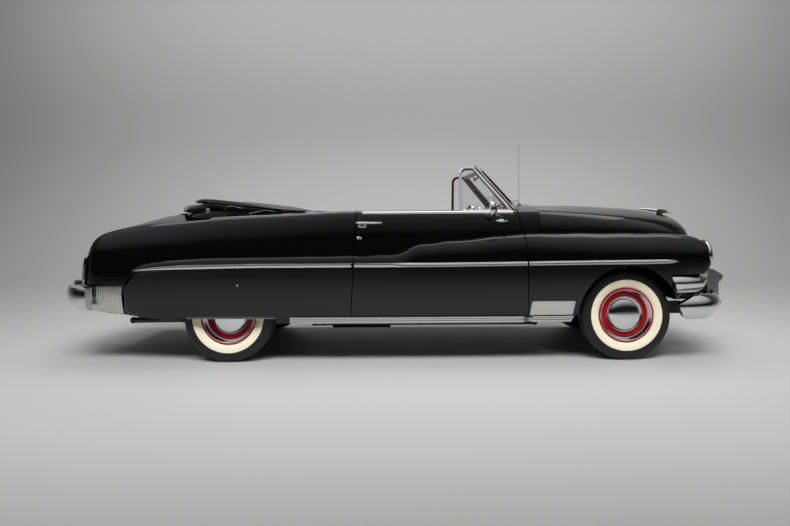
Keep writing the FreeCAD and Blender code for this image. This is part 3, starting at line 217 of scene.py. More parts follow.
# Bright parts: the grille's die castings and the bumpers' pressed steel, bolted on, with copper and
# nickel under a thin chrome that shows the room.
# Chrome gives a cool mirror, softened a little by wiping marks of 70 mm.
chrome, tree = blank("polished_chrome")
coords = add(tree, "TexCoord")
wipe = add(tree, "TexNoise", values={"Scale": 14.0, "Detail": 4.0}, links={"Vector": (coords, "Object")})
gloss = add(tree, "MapRange", values={"To Min": 0.04, "To Max": 0.12}, links={"Value": (wipe, 0)})
shader = add(tree, "BsdfPrincipled", values={"Base Color": linear("#dfe0e1"), "Metallic": 1.0},
             links={"Roughness": (gloss, 0)})
add(tree, "OutputMaterial", links={"Surface": (shader, "BSDF")})
dress(chrome, "grille", "front_bumper", "rear_bumper")


# Tyres: bias-ply rubber, moulded with five zigzag ribs round the tread and a wide cream sidewall
# outboard, and held on the rim by their beads.
def turned(profile, steps):
    """A body of revolution about Y from (radius, distance along the axle), open if it meets the axle."""
    bm = bmesh.new()
    verts = [bm.verts.new((radius, distance, 0.0)) for radius, distance in profile]
    pairs = list(zip(verts, verts[1:]))
    if all(radius > 0.0 for radius, _ in profile):
        pairs.append((verts[-1], verts[0]))
    edges = [bm.edges.new(pair) for pair in pairs]
    bmesh.ops.spin(bm, geom=verts + edges, cent=(0, 0, 0), axis=(0, 1, 0), angle=2 * math.pi, steps=steps,
                   use_merge=True)
    bmesh.ops.remove_doubles(bm, verts=bm.verts, dist=0.00002)
    bmesh.ops.recalc_face_normals(bm, faces=bm.faces)
    return bm


def settle(name, bm, body, *materials, at=None, sharp=35.0, slot=None):
    """Makes the mesh a piece of the car: placed, smoothed up to an angle, and riding on its body."""
    if at is not None:
        bmesh.ops.transform(bm, matrix=at, verts=bm.verts)
        if at.determinant() < 0:
            bmesh.ops.reverse_faces(bm, faces=bm.faces)
    mesh = bpy.data.meshes.new(name)
    bm.to_mesh(mesh)
    bm.free()
    mesh.shade_smooth()
    mesh.set_sharp_from_angle(angle=math.radians(sharp))
    for material in materials:
        mesh.materials.append(material)
    piece = bpy.data.objects.new(name, mesh)
    bpy.context.scene.collection.objects.link(piece)
    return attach(piece, body)


# Black rubber gives a dull, uneven black, paler where it blooms in patches of 33 mm.
rubber, tree = blank("black_tyre_rubber")
coords = add(tree, "TexCoord")
bloom = add(tree, "TexNoise", values={"Scale": 30.0, "Detail": 5.0}, links={"Vector": (coords, "Object")})
tone = add(tree, "Mix", {"data_type": "RGBA"}, {"A": linear("#121212"), "B": linear("#1e1d1c")},
           {0: (bloom, 0)})
pores = add(tree, "Bump", values={"Strength": 0.2, "Distance": 0.001}, links={"Height": (bloom, 0)})
shader = add(tree, "BsdfPrincipled", values={"Roughness": 0.62},
             links={"Base Color": (tone, 2), "Normal": (pores, 0)})
add(tree, "OutputMaterial", links={"Surface": (shader, "BSDF")})
# Cream rubber gives a soft, warm white with scuffs of 55 mm.
white_rubber, tree = blank("cream_sidewall_rubber")
coords = add(tree, "TexCoord")
scuff = add(tree, "TexNoise", values={"Scale": 18.0, "Detail": 6.0}, links={"Vector": (coords, "Object")})
tone = add(tree, "Mix", {"data_type": "RGBA"}, {"A": linear("#ece5cf"), "B": linear("#dcd3b8")},
           {0: (scuff, 0)})
shader = add(tree, "BsdfPrincipled", values={"Roughness": 0.5}, links={"Base Color": (tone, 2)})
add(tree, "OutputMaterial", links={"Surface": (shader, "BSDF")})

tread_radius, groove_depth, groove_mouth, groove_foot = 0.3392, 0.008, 0.004, 0.0028
zigzag, zigzag_half, zigzag_radius = 0.0022, 0.048, 0.3302
white_from, white_to = 0.2080, 0.2668
tread = [(0.3330, -0.066), (0.3385, -0.0500)]
for centre in (-0.040, -0.0135, 0.0135, 0.040):
    tread += [(tread_radius, centre - groove_mouth), (tread_radius - groove_depth, centre - groove_foot),
              (tread_radius - groove_depth, centre + groove_foot), (tread_radius, centre + groove_mouth)]
tread += [(0.3385, 0.0500), (0.3330, 0.066)]
outboard_side = [
    (0.3270, 0.0740), (0.3180, 0.0800), (0.3040, 0.0855), (0.2880, 0.0885), (0.2740, 0.0900),
    (0.2690, 0.0900), (0.2675, 0.0882), (0.2650, 0.0882), (0.2560, 0.0884), (0.2400, 0.0862),
    (0.2260, 0.0815), (0.2150, 0.0760), (0.2085, 0.0715), (0.2075, 0.0690), (0.2010, 0.0640),
]
inboard_side = [(radius, -distance) for radius, distance in reversed(outboard_side)]
tyre_steps, axle_height = 100, 0.340
wheel_places = {}
for end, x, y in (("front", 1.734, 0.743), ("rear", -1.263, 0.762)):
    for side, sign in (("left", 1), ("right", -1)):
        outward = Matrix.Diagonal((1, sign, 1, 1))
        wheel_places[end + "_" + side] = Matrix.Translation((x, sign * y, axle_height)) @ outward
for corner, at in wheel_places.items():
    bm = turned(inboard_side + tread + outboard_side, tyre_steps)
    for vert in bm.verts:
        if math.hypot(vert.co.x, vert.co.z) > zigzag_radius and abs(vert.co.y) < zigzag_half:
            turn = round(math.atan2(vert.co.z, vert.co.x) / (2 * math.pi / tyre_steps))
            vert.co.y += zigzag if turn % 2 else -zigzag
    for face in bm.faces:
        middle = face.calc_center_median()
        radius = math.hypot(middle.x, middle.z)
        face.material_index = 1 if middle.y > 0.06 and white_from < radius < white_to else 0
    tyre_name = "whitewall_tyre_" + corner
    tyre = settle(tyre_name, bm, "wheel_" + corner, rubber, white_rubber, at=at, slot="tyre")
    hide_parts("tyre_" + corner)

# Wheels: a rolled rim riveted to a pressed disc, both in red enamel, with a stainless ring sprung
# into the rim and a domed chromed cap snapped over the nuts.
# Stoved enamel gives a bright, wet red under a haze in patches of 80 mm.
red_enamel, tree = blank("red_wheel_enamel")
coords = add(tree, "TexCoord")
haze = add(tree, "TexNoise", values={"Scale": 12.0, "Detail": 3.0}, links={"Vector": (coords, "Object")})
gloss = add(tree, "MapRange", values={"To Min": 0.12, "To Max": 0.22}, links={"Value": (haze, 0)})
shader = add(tree, "BsdfPrincipled", values={"Base Color": linear("#a5121b")},
             links={"Roughness": (gloss, 0)})
add(tree, "OutputMaterial", links={"Surface": (shader, "BSDF")})
rim_profile = [
    (0.1990, -0.0720), (0.2065, -0.0720), (0.2065, -0.0660), (0.1985, -0.0590), (0.1960, -0.0480),
    (0.1780, -0.0400), (0.1700, -0.0180), (0.1700, 0.0150), (0.1800, 0.0330), (0.1950, 0.0480),
    (0.1985, 0.0590), (0.2062, 0.0650), (0.2085, 0.0720), (0.2062, 0.0755), (0.1985, 0.0735),
    (0.1900, 0.0630), (0.1790, 0.0480), (0.1700, 0.0330), (0.1640, 0.0200), (0.1570, 0.0150),
    (0.1480, 0.0190), (0.1370, 0.0290), (0.1250, 0.0340), (0.0350, 0.0340), (0.0350, 0.0260),
    (0.1220, 0.0260), (0.1340, 0.0190), (0.1480, 0.0080), (0.1610, 0.0040), (0.1630, -0.0180),
    (0.1710, -0.0440), (0.1900, -0.0590),
]
ring_profile = [
    (0.1660, 0.0225), (0.1690, 0.0300), (0.1740, 0.0400), (0.1810, 0.0525), (0.1895, 0.0650),
    (0.1930, 0.0725), (0.1945, 0.0755), (0.1925, 0.0770), (0.1890, 0.0755), (0.1860, 0.0690),
    (0.1780, 0.0565), (0.1700, 0.0440), (0.1655, 0.0330), (0.1640, 0.0240),
]
cap_profile = [
    (0.0, 0.0680), (0.0, 0.0740), (0.0200, 0.0736), (0.0400, 0.0722), (0.0600, 0.0696), (0.0780, 0.0660),
    (0.0940, 0.0612), (0.1070, 0.0555), (0.1170, 0.0492), (0.1250, 0.0425), (0.1305, 0.0370),
    (0.1340, 0.0335), (0.1355, 0.0315), (0.1345, 0.0300), (0.1300, 0.0310), (0.1240, 0.0370),
    (0.1100, 0.0480),
]
for corner, at in wheel_places.items():
    wheel_body = "wheel_" + corner
    rim = turned(rim_profile, 96)
    rim_piece = settle("steel_" + wheel_body, rim, wheel_body, red_enamel, at=at, slot="red_enamel")
    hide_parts(wheel_body)
    settle("trim_ring_" + corner, turned(ring_profile, 96), wheel_body, chrome, at=at, slot="chrome")
    settle("hub_cap_" + corner, turned(cap_profile, 72), wheel_body, chrome, at=at, slot="chrome")


# Side mouldings: a bright pressed bar with a flat middle and two rolled edges, clipped along the
# widest line, in three lengths a side with a gap at each shut line, and drawn to a point at both ends.
def drawn(outlines):
    """A closed bar: the first outline is filled, and its face is extruded through the others."""
    bm = bmesh.new()
    cap = bm.faces.new([bm.verts.new(point) for point in outlines[0]])
    for outline in outlines[1:]:
        made = bmesh.ops.extrude_face_region(bm, geom=[cap])
        cap = next(item for item in made["geom"] if isinstance(item, bmesh.types.BMFace))
        for vert, point in zip(cap.verts, outline):
            vert.co = point
    bmesh.ops.recalc_face_normals(bm, faces=bm.faces)
    return bm


def struck(start, way, *names):
    """The nearest point that a line from start meets on the nodes, and the way the surface faces."""
    start = Vector(start)
    hits = [nodes[name].ray_cast(start, Vector(way)) for name in names]
    found = [(point, normal) for hit, point, normal, _ in hits if hit]
    return min(found, key=lambda pair: (pair[0] - start).length)


def skin(x, z, *names):
    """The outermost point of the right side at a place along the car and a height, and the way it faces."""
    return struck((x, -1.3, z), (0.0, 1.0, 0.0), *names)


def run(start, end, step):
    """Places from start to end, both included, about a step apart."""
    count = max(1, round(abs(end - start) / step))
    return [start + (end - start) * i / count for i in range(count + 1)]


def between(table, x):
    """A value read from a table of (place, value) pairs."""
    pairs = sorted(table)
    for (x0, v0), (x1, v1) in zip(pairs, pairs[1:]):
        if x <= x1:
            return v0 + (v1 - v0) * max(0.0, (x - x0) / (x1 - x0))
    return pairs[-1][1]


def both_sides(name, bm, body, material, slot, **options):
    """The same piece on the car's right, and mirrored on its left."""
    copy = bm.copy()
    mirror = Matrix.Diagonal((1, -1, 1, 1))
    right = settle(name + "_right", bm, body.format("right"), material, slot=slot, **options)
    left = settle(name + "_left", copy, body.format("left"), material, slot=slot, at=mirror, **options)
    return right, left


# Buffed stainless gives a soft mirror, drawn out along fine lines 4 mm apart and 250 mm long, coarser
# than the real ones so that they show.
stainless, tree = blank("polished_stainless")
coords = add(tree, "TexCoord")
stretch = add(tree, "Mapping", values={"Scale": (4.0, 4.0, 260.0)}, links={"Vector": (coords, "Object")})
buff = add(tree, "TexNoise", values={"Scale": 1.0, "Detail": 3.0}, links={"Vector": (stretch, 0)})
gloss = add(tree, "MapRange", values={"To Min": 0.16, "To Max": 0.30}, links={"Value": (buff, 0)})
shader = add(tree, "BsdfPrincipled", values={"Base Color": linear("#cfcecb"), "Metallic": 1.0},
             links={"Roughness": (gloss, 0)})
add(tree, "OutputMaterial", links={"Surface": (shader, "BSDF")})

moulding_height = [(-1.972, 0.695), (-1.80, 0.713), (-1.60, 0.724), (-1.06, 0.733), (0.33, 0.735),
                   (1.5, 0.746), (2.10, 0.750)]
moulding_section = [(-0.0165, -0.003), (-0.0165, 0.006), (-0.0130, 0.0095), (-0.0090, 0.0085),
                    (-0.0060, 0.0062), (0.0060, 0.0062), (0.0090, 0.0085), (0.0130, 0.0095),
                    (0.0165, 0.006), (0.0165, -0.003)]
least_share = 0.04
for part, body, start, end, front_point, rear_point, panels in (
    ("fender", "root", 0.984, 2.093, 0.09, 0.0, ["front_fender_right"]),
    ("door", "door_{}", -0.304, 0.970, 0.0, 0.0, ["door_right"]),
    ("quarter", "root", -1.972, -0.326, 0.0, 0.40, ["rear_quarter_right", "fender_skirts"]),
):
    outlines = []
    for x in run(start, end, 0.03):
        point, out = skin(x, between(moulding_height, x), *panels)
        rise = out.cross(Vector((1.0, 0.0, 0.0))).normalized()
        rise = rise if rise.z > 0 else -rise
        share = 1.0
        if front_point and end - x < front_point:
            share = max(least_share, math.sqrt((end - x) / front_point))
        if rear_point and x - start < rear_point:
            share = max(least_share, math.sqrt((x - start) / rear_point))
        depth = 0.35 + 0.65 * share
        outlines.append([point + rise * (u * share) + out * (w * depth) for u, w in moulding_section])
    both_sides("side_moulding_" + part, drawn(outlines), body, stainless, "stainless", sharp=50.0)

# Rocker trim: a rolled stainless strip with three long flutes, screwed to the sill between the two
# wheel openings, with its front end cut on a slant.
rocker_middle, rocker_standoff, slant_from = 0.324, 0.006, 1.29
rocker_section = [(0.027, -0.030), (0.027, 0.008), (0.023, 0.0125), (0.011, 0.0080), (0.0095, 0.0115),
                  (-0.003, 0.0065), (-0.0045, 0.0100), (-0.019, 0.0030), (-0.024, -0.002), (-0.026, -0.030)]
outlines = []
for x in run(-0.785, 1.312, 0.04):
    edge, _ = skin(x, 0.358, "rear_quarter_right", "door_right", "front_fender_right")
    slant = 0.5 if x > slant_from else 0.0
    foot_y = edge.y + rocker_standoff
    outlines.append([Vector((x + u * slant, foot_y - w, rocker_middle + u)) for u, w in rocker_section])
both_sides("rocker_trim", drawn(outlines), "root", stainless, "stainless", sharp=50.0)


# Stone shields: stainless sheet hugging the fender behind the front wheel, with a rolled edge,
# and behind the rear wheel a fluted one that wraps the corner, with a ridge across its middle.
def sheet_on_skin(place, columns, rows, height, *panels):
    """A sheet on the body's side: place(u, v) gives (x, z), and height(u, v) how far out it lies."""
    bm = bmesh.new()
    bmesh.ops.create_grid(bm, x_segments=columns, y_segments=rows, size=0.5)
    for vert in bm.verts:
        u, v = vert.co.x + 0.5, vert.co.y + 0.5
        x, z = place(u, v)
        point, out = skin(x, z, *panels)
        out.z = 0.0
        vert.co = point + out.normalized() * height(u, v)
    bmesh.ops.recalc_face_normals(bm, faces=bm.faces)
    if sum(face.normal.y * face.calc_area() for face in bm.faces) > 0:
        bmesh.ops.reverse_faces(bm, faces=bm.faces)
    bmesh.ops.solidify(bm, geom=bm.faces, thickness=-0.0015)
    return bm


shield_foot, shield_rise = 0.356, 0.106


def shield_place(u, v):
    """Where a point of the plain shield lies: its foot and top are level, its ends lean back."""
    low_rear, low_front, top_rear, top_front = 0.993, 1.312, 1.008, 1.328
    x = (low_rear + (low_front - low_rear) * u) * (1 - v) + (top_rear + (top_front - top_rear) * u) * v
    return x, shield_foot + shield_rise * v


def rolled_edge(u, v):
    """The plain shield's height off the skin: flat, with a bead round its edge."""
    width, bead_middle, bead_height, lift = 0.36, 0.006, 0.004, 0.004
    edge = min(u * width, (1 - u) * width, v * shield_rise, (1 - v) * shield_rise)
    return lift + bead_height * max(0.0, 1.0 - abs(edge - bead_middle) / bead_middle)


shield = sheet_on_skin(shield_place, 60, 24, rolled_edge, "front_fender_right")
both_sides("stone_shield", shield, "root", stainless, "stainless")


def lowest(x):
    """How far down the quarter panel reaches at a place along the car."""
    for z in run(0.355, 0.460, 0.004):
        if nodes["rear_quarter_right"].ray_cast(Vector((x, -1.3, z)), Vector((0.0, 1.0, 0.0)))[0]:
            return z + 0.003
    return 0.460


def fluted_place(u, v):
    """Where a point of the fluted shield lies, from the panel's lower edge to a level top."""
    rear_end, length, top = -2.345, 0.300, 0.578
    x = rear_end + length * u
    low = lowest(x)
    return x, low + (top - low) * v


def fluted_height(u, v):
    """The fluted shield's height off the skin: ribs that stand upright, and a ridge across them."""
    ribs, rib_height, ridge_height, ridge_middle, lift = 14, 0.005, 0.007, 0.52, 0.003
    rib = 0.5 - 0.5 * math.cos(2 * math.pi * ribs * u)
    ridge = max(0.0, 1.0 - abs(v - ridge_middle) / 0.5)
    return lift + rib_height * rib + ridge_height * ridge


shield = sheet_on_skin(fluted_place, 168, 10, fluted_height, "rear_quarter_right")
both_sides("fluted_shield", shield, "root", stainless, "stainless", sharp=60.0)


# Belt and skirt trims: rolled stainless strips along the door tops and the well's edge, and two fine
# ones along the foot of the skirts, each clipped on in its own length, with a chromed latch a skirt.
def top_of(x, y, name):
    """The highest point of a node at a place in plan."""
    return struck((x, y, 1.6), (0.0, 0.0, -1.0), name)[0]


belt_section = [(-0.005, -0.003), (-0.0045, 0.002), (-0.002, 0.006), (0.002, 0.006), (0.0045, 0.002),
                (0.005, -0.003)]
well_edge = [(-1.4, -0.800), (-0.9, -0.826), (-0.3, -0.838)]
outlines = []
for x in run(-1.400, -0.318, 0.04):
    foot = top_of(x, between(well_edge, x), "rear_quarter_right")
    outlines.append([foot + Vector((0.0, u, w)) for u, w in belt_section])
both_sides("belt_trim_quarter", drawn(outlines), "root", stainless, "stainless", sharp=50.0)
door_belt_section = [(0.001, -0.025), (-0.004, -0.023), (-0.0045, -0.016), (0.001, -0.004), (0.009, 0.0035),
                     (0.018, 0.006), (0.025, 0.004), (0.027, -0.002)]
outlines = []
for x in run(-0.291, 0.883, 0.04):
    edge, _ = skin(x, 1.112, "door_right")
    crest = top_of(x, edge.y + 0.014, "door_right")
    outlines.append([Vector((x, edge.y + u, crest.z + w)) for u, w in door_belt_section])
both_sides("belt_trim_door", drawn(outlines), "door_{}", stainless, "stainless", sharp=50.0)
bead = [(-0.0026, -0.004), (-0.0026, 0.002), (-0.0012, 0.004), (0.0012, 0.004), (0.0026, 0.002),
        (0.0026, -0.004)]
for name, z in (("skirt_trim_upper", 0.3530), ("skirt_trim_lower", 0.3420)):
    outlines = []
    for x in run(-1.553, -0.892, 0.03):
        point, _ = skin(x, 0.358, "fender_skirts")
        outlines.append([Vector((x, point.y - w, z + u)) for u, w in bead])
    both_sides(name, drawn(outlines), "root", stainless, "stainless", sharp=50.0)


def facing(point, out):
    """A placement whose Y axis points out of the skin there."""
    return Matrix.Translation(point) @ Vector(out).to_track_quat("Y", "Z").to_matrix().to_4x4()


def placed(bm, matrix):
    """The mesh moved to its place."""
    bmesh.ops.transform(bm, matrix=matrix, verts=bm.verts)
    return bm


def standing(profile, steps, point, out):
    """A turned part whose axle stands out of the skin there."""
    return placed(turned(profile, steps), facing(point, out))


latch_profile = [(0.0, 0.0055), (0.004, 0.005), (0.0065, 0.0035), (0.0085, 0.0005), (0.0085, -0.003),
                 (0.0, -0.003)]
latch = standing(latch_profile, 20, *skin(-1.165, 0.590, "fender_skirts"))
both_sides("skirt_latch", latch, "root", chrome, "chrome")


# Door handles: die-cast pull bars, chromed, each bolted through an oval seat, with a thumb button at
# its rear end and a key lock below.
def oval(centre, across, upward, half_across, half_up, count=20):
    """Points round an oval."""
    turns = [2 * math.pi * i / count for i in range(count)]
    return [centre + across * (half_across * math.cos(t)) + upward * (half_up * math.sin(t)) for t in turns]


def stepped(point, out, across, upward, steps, count=20):
    """Ovals one behind another along a way out: steps are (distance, half width, half height)."""
    return [oval(point + out * far, across, upward, wide, tall, count) for far, wide, tall in steps]


along, up, outboard = Vector((1.0, 0.0, 0.0)), Vector((0.0, 0.0, 1.0)), Vector((0.0, -1.0, 0.0))
handle_spot, _ = skin(-0.250, 1.028, "door_right")
steps = [(-0.006, 0.034, 0.022), (0.003, 0.034, 0.022), (0.006, 0.031, 0.019), (0.010, 0.022, 0.014),
         (0.024, 0.016, 0.011), (0.030, 0.012, 0.009), (0.031, 0.005, 0.004)]
handle_seat = drawn(stepped(handle_spot, outboard, along, up, steps))
both_sides("handle_seat", handle_seat, "door_{}", chrome, "chrome")
bar_height = 1.045
bar = []
for x, lift, thick, tall in (
    (-0.297, 0.018, 0.002, 0.003), (-0.294, 0.022, 0.005, 0.006), (-0.280, 0.027, 0.008, 0.0085),
    (-0.250, 0.032, 0.009, 0.009), (-0.210, 0.036, 0.007, 0.008), (-0.160, 0.037, 0.006, 0.007),
    (-0.120, 0.034, 0.005, 0.006), (-0.104, 0.030, 0.004, 0.005), (-0.098, 0.026, 0.002, 0.002),
):
    middle = Vector((x, handle_spot.y, bar_height)) + outboard * lift
    bar.append(oval(middle, outboard, up, thick, tall, 14))
both_sides("handle_bar", drawn(bar), "door_{}", chrome, "chrome")
lock_spot, out = skin(-0.272, 0.930, "door_right")
steps = [(-0.006, 0.020, 0.013), (0.002, 0.020, 0.013), (0.005, 0.017, 0.010), (0.008, 0.011, 0.008),
         (0.011, 0.010, 0.007), (0.012, 0.004, 0.003)]
both_sides("key_lock", drawn(stepped(lock_spot, out, along, up, steps)), "door_{}", chrome, "chrome")



# Headlamps: a sealed glass lamp with a silvered dish behind its fluted lens, held in the fender's
# nose by a chromed rim.
def even(name, values):
    """A material whose finish is the same all over."""
    material, tree = blank(name)
    shader = add(tree, "BsdfPrincipled", values=values)
    add(tree, "OutputMaterial", links={"Surface": (shader, "BSDF")})
    return material


# Pressed glass gives a clear, hard face, and its flutes, 14 mm apart, are in the mesh.
lamp_glass = even("fluted_lamp_glass", {
    "Base Color": linear("#f4f7f8"), "Roughness": 0.03, "IOR": 1.5, "Transmission Weight": 0.85})
rim_section = [(0.0960, -0.006), (0.1160, -0.006), (0.1170, 0.006), (0.1140, 0.016), (0.1070, 0.024),
               (0.1000, 0.026), (0.0955, 0.022), (0.0945, 0.012)]
dish_section = [(0.0955, 0.011), (0.0800, 0.006), (0.0500, 0.0035), (0.0, 0.002), (0.0, -0.004),
                (0.0955, -0.004)]
lens_section = [(0.0960, 0.012), (0.0955, 0.015), (0.0850, 0.0185), (0.0650, 0.0220), (0.0400, 0.0250),
                (0.0200, 0.0262), (0.0, 0.0266), (0.0, 0.0226), (0.0400, 0.0210), (0.0850, 0.0145)]
lamp_spot, flute_pitch, flute_depth = Vector((2.362, -0.720, 0.785)), 0.014, 0.0009
both_sides("headlamp_rim", standing(rim_section, 64, lamp_spot, along), "root", chrome, "chrome")
both_sides("headlamp_dish", standing(dish_section, 48, lamp_spot, along), "root", chrome, "chrome")
lens_mesh = turned(lens_section, 96)
rings = [edge for edge in lens_mesh.edges if abs(edge.verts[0].co.y - edge.verts[1].co.y) > 0.002]
bmesh.ops.subdivide_edges(lens_mesh, edges=rings, cuts=2)
for vert in lens_mesh.verts:
    if vert.co.y > 0.017:
        vert.co.y += flute_depth * math.cos(2 * math.pi * vert.co.x / flute_pitch)
lens_mesh = placed(lens_mesh, facing(lamp_spot, along))
for lens_piece in both_sides("headlamp_lens", lens_mesh, "root", lamp_glass, "lamp_glass"):
    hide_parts("headlamps")

# Bumpers: heavy pressed blades and guards, chromed, bolted to brackets on the chassis by
# round-headed bolts whose heads show on each face.
head_section = [(0.0, 0.0085), (0.006, 0.0080), (0.011, 0.0060), (0.0145, 0.0030), (0.0155, 0.0),
                (0.0155, -0.006), (0.0, -0.006)]
for y in (-0.18, -0.62):
    for name, x, z, way in (("front_bumper", 3.2, 0.410, -1.0), ("rear_bumper", -3.2, 0.500, 1.0)):
        bolt = standing(head_section, 20, *struck((x, y, z), (way, 0.0, 0.0), name))
        both_sides("{}_bolt_{:.0f}".format(name, -y * 1000), bolt, "root", chrome, "chrome")


# Parking lamps: amber lenses moulded in plastic, each in a chromed rim that is screwed to the end of
# the grille bar.
def looped(rings):
    """A closed band: each ring of points is joined to the next, and the last one to the first."""
    outlines = [list(outline) for outline in zip(*rings)]
    bm = drawn(outlines + outlines[:1])
    middle = sum(outlines[0], Vector()) / len(outlines[0])
    ends = [face for face in bm.faces if (face.calc_center_median() - middle).length < 1e-5]
    bmesh.ops.delete(bm, geom=ends, context="FACES_ONLY")
    bmesh.ops.remove_doubles(bm, verts=bm.verts, dist=1e-5)
    bmesh.ops.recalc_face_normals(bm, faces=bm.faces)
    return bm


# Moulded amber plastic gives a warm glow, half clear, under a hard gloss.
amber_lens = even("amber_lens_plastic", {
    "Base Color": linear("#d9801c"), "Roughness": 0.08, "Transmission Weight": 0.4})
point, out = struck((3.0, -0.780, 0.600), (-1.0, 0.0, 0.0), "grille")
sideways = up.cross(out).normalized()
lens_steps = [(-0.006, 0.046, 0.021), (0.003, 0.046, 0.021), (0.007, 0.043, 0.018), (0.0105, 0.030, 0.012),
              (0.012, 0.010, 0.004)]
rim_steps = [(-0.008, 0.053, 0.028), (0.002, 0.053, 0.028), (0.005, 0.050, 0.025), (0.005, 0.044, 0.019),
             (-0.008, 0.044, 0.019)]
parking_lens = drawn(stepped(point, out, sideways, up, lens_steps, 28))
both_sides("parking_lens", parking_lens, "root", amber_lens, "lamp_glass")
parking_rim = looped(stepped(point, out, sideways, up, rim_steps, 28))
both_sides("parking_rim", parking_rim, "root", chrome, "chrome")

# Ornament: a die-cast spear, chromed, on a foot bolted to the hood's crown, with a swept wing in
# gold plate across it.
# Gold plate gives a warm mirror.
gold_plate = even("gold_plate", {"Base Color": linear("#c9a063"), "Metallic": 1.0, "Roughness": 0.16})
across = Vector((0.0, 1.0, 0.0))
spear = []
for x, z, half, tall in (
    (2.070, 1.143, 0.001, 0.001), (2.085, 1.145, 0.005, 0.004), (2.120, 1.146, 0.010, 0.007),
    (2.180, 1.141, 0.013, 0.010), (2.240, 1.131, 0.012, 0.013), (2.290, 1.121, 0.011, 0.012),
    (2.335, 1.116, 0.008, 0.008), (2.370, 1.113, 0.004, 0.004), (2.390, 1.112, 0.001, 0.001),
):
    spear.append(oval(Vector((x, 0.0, z)), across, up, half, tall, 16))
ornament = settle("ornament_spear", drawn(spear), "hood", chrome, slot="chrome")
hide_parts("hood_ornament")
wing_x, wing_z, half_span, sweep, half_chord = 2.292, 1.126, 0.085, 0.052, 0.045
wing = []
for share in run(-1.0, 1.0, 0.125):
    reach = abs(share)
    middle = Vector((wing_x - sweep * reach ** 1.5, half_span * share, wing_z + 0.016 * reach))
    chord = half_chord * math.sqrt(max(0.02, 1.0 - reach ** 2.5))
    wing.append(oval(middle, along, up, chord, 0.0045 - 0.003 * reach, 14))
settle("ornament_wing", drawn(wing), "hood", gold_plate)
steps = [(1.095, 0.060, 0.016), (1.108, 0.060, 0.016), (1.118, 0.048, 0.011), (1.126, 0.040, 0.009)]
ornament_foot = drawn(stepped(Vector((2.235, 0.0, 0.0)), up, along, across, steps, 24))
settle("ornament_foot", ornament_foot, "hood", chrome, slot="chrome")

# Windshield: two flat panes of laminated glass in rubber, with chromed reveal mouldings outside,
# painted garnish mouldings inside and four studs on the header for the top's latches.
# Clear glass gives next to nothing face on, and a sharp mirror at a slant.
clear_glass, tree = blank("laminated_glass")
edge_on = add(tree, "Fresnel", values={"IOR": 1.5})
# Only the face that the light enters by mirrors, so that a pane's far face never turns into a mirror.
face = add(tree, "NewGeometry")
entering = add(tree, "Math", {"operation": "SUBTRACT"}, {0: 1.0}, {1: (face, "Backfacing")})
mirroring = add(tree, "Math", {"operation": "MULTIPLY"}, links={0: (edge_on, 0), 1: (entering, 0)})
through = add(tree, "BsdfTransparent", values={"Color": linear("#fbfcfc")})
mirrored = add(tree, "BsdfGlossy", values={"Color": linear("#ffffff"), "Roughness": 0.01})
shader = add(tree, "MixShader", links={0: (mirroring, 0), 1: (through, 0), 2: (mirrored, 0)})
add(tree, "OutputMaterial", links={"Surface": (shader, 0)})
dress(clear_glass, "windshield_glass")
# Sprayed enamel gives an even, deep maroon under a clear gloss.
maroon_enamel = even("maroon_enamel", {"Base Color": linear("#5a0d16"), "Roughness": 0.2})


def framed(corners, profile, outward):
    """A mitred frame on flat corners: the profile is a list of (inset, height) pairs."""
    normal = (corners[1] - corners[0]).cross(corners[2] - corners[0]).normalized()
    turn = 1.0
    if normal.dot(outward) < 0:
        normal, turn = -normal, -1.0
    rings = []
    for inset, height in profile:
        ring = []
        for i, corner in enumerate(corners):
            before = normal.cross((corner - corners[i - 1]).normalized()) * turn
            after = normal.cross((corners[(i + 1) % len(corners)] - corner).normalized()) * turn
            mitre = before + after
            ring.append(corner + mitre * (inset / mitre.dot(before)) + normal * height)
        rings.append(ring)
    return looped(rings)


def tube(points, radius, sides=12, flat=1.0):
    """A round bar through the points, or a flattened one."""
    outlines = []
    for i, point in enumerate(points):
        way = (points[min(i + 1, len(points) - 1)] - points[max(i - 1, 0)]).normalized()
        beside = way.cross(Vector((0.13, 0.21, 1.0))).normalized()
        outlines.append(oval(point, beside, beside.cross(way).normalized(), radius, radius * flat, sides))
    return drawn(outlines)


def curved(points, steps=8):
    """Points along a smooth curve through the given ones."""
    made = []
    for i in range(len(points) - 1):
        a, b, c, d = points[max(i - 1, 0)], points[i], points[i + 1], points[min(i + 2, len(points) - 1)]
        for step in range(steps):
            t = step / steps
            square, cube = 2 * a - 5 * b + 4 * c - d, 3 * b - a - 3 * c + d
            made.append(0.5 * ((2 * b) + (c - a) * t + square * t ** 2 + cube * t ** 3))
    return made + [points[-1]]


foot_side, foot_mid = Vector((0.920, -0.680, 1.118)), Vector((0.978, 0.0, 1.190))
head_mid, head_side = Vector((0.718, 0.0, 1.477)), Vector((0.619, -0.600, 1.462))
pane_normal = (foot_mid - foot_side).cross(head_mid - foot_side).normalized()
pane_normal = pane_normal if pane_normal.x > 0 else -pane_normal
head_side = head_side - pane_normal * (head_side - foot_side).dot(pane_normal)
pane = [foot_side, foot_mid, head_mid, head_side]
reveal = [(-0.017, 0.002), (-0.018, 0.010), (-0.012, 0.016), (-0.002, 0.0155), (0.006, 0.011),
          (0.012, 0.0095), (0.014, 0.004)]
gasket = [(-0.015, -0.007), (-0.015, 0.006), (0.017, 0.0055), (0.020, 0.0035), (0.020, -0.0035),
          (0.017, -0.007)]
garnish = [(-0.018, -0.020), (-0.018, -0.006), (0.014, -0.006), (0.018, -0.009), (0.012, -0.018),
           (-0.006, -0.024)]
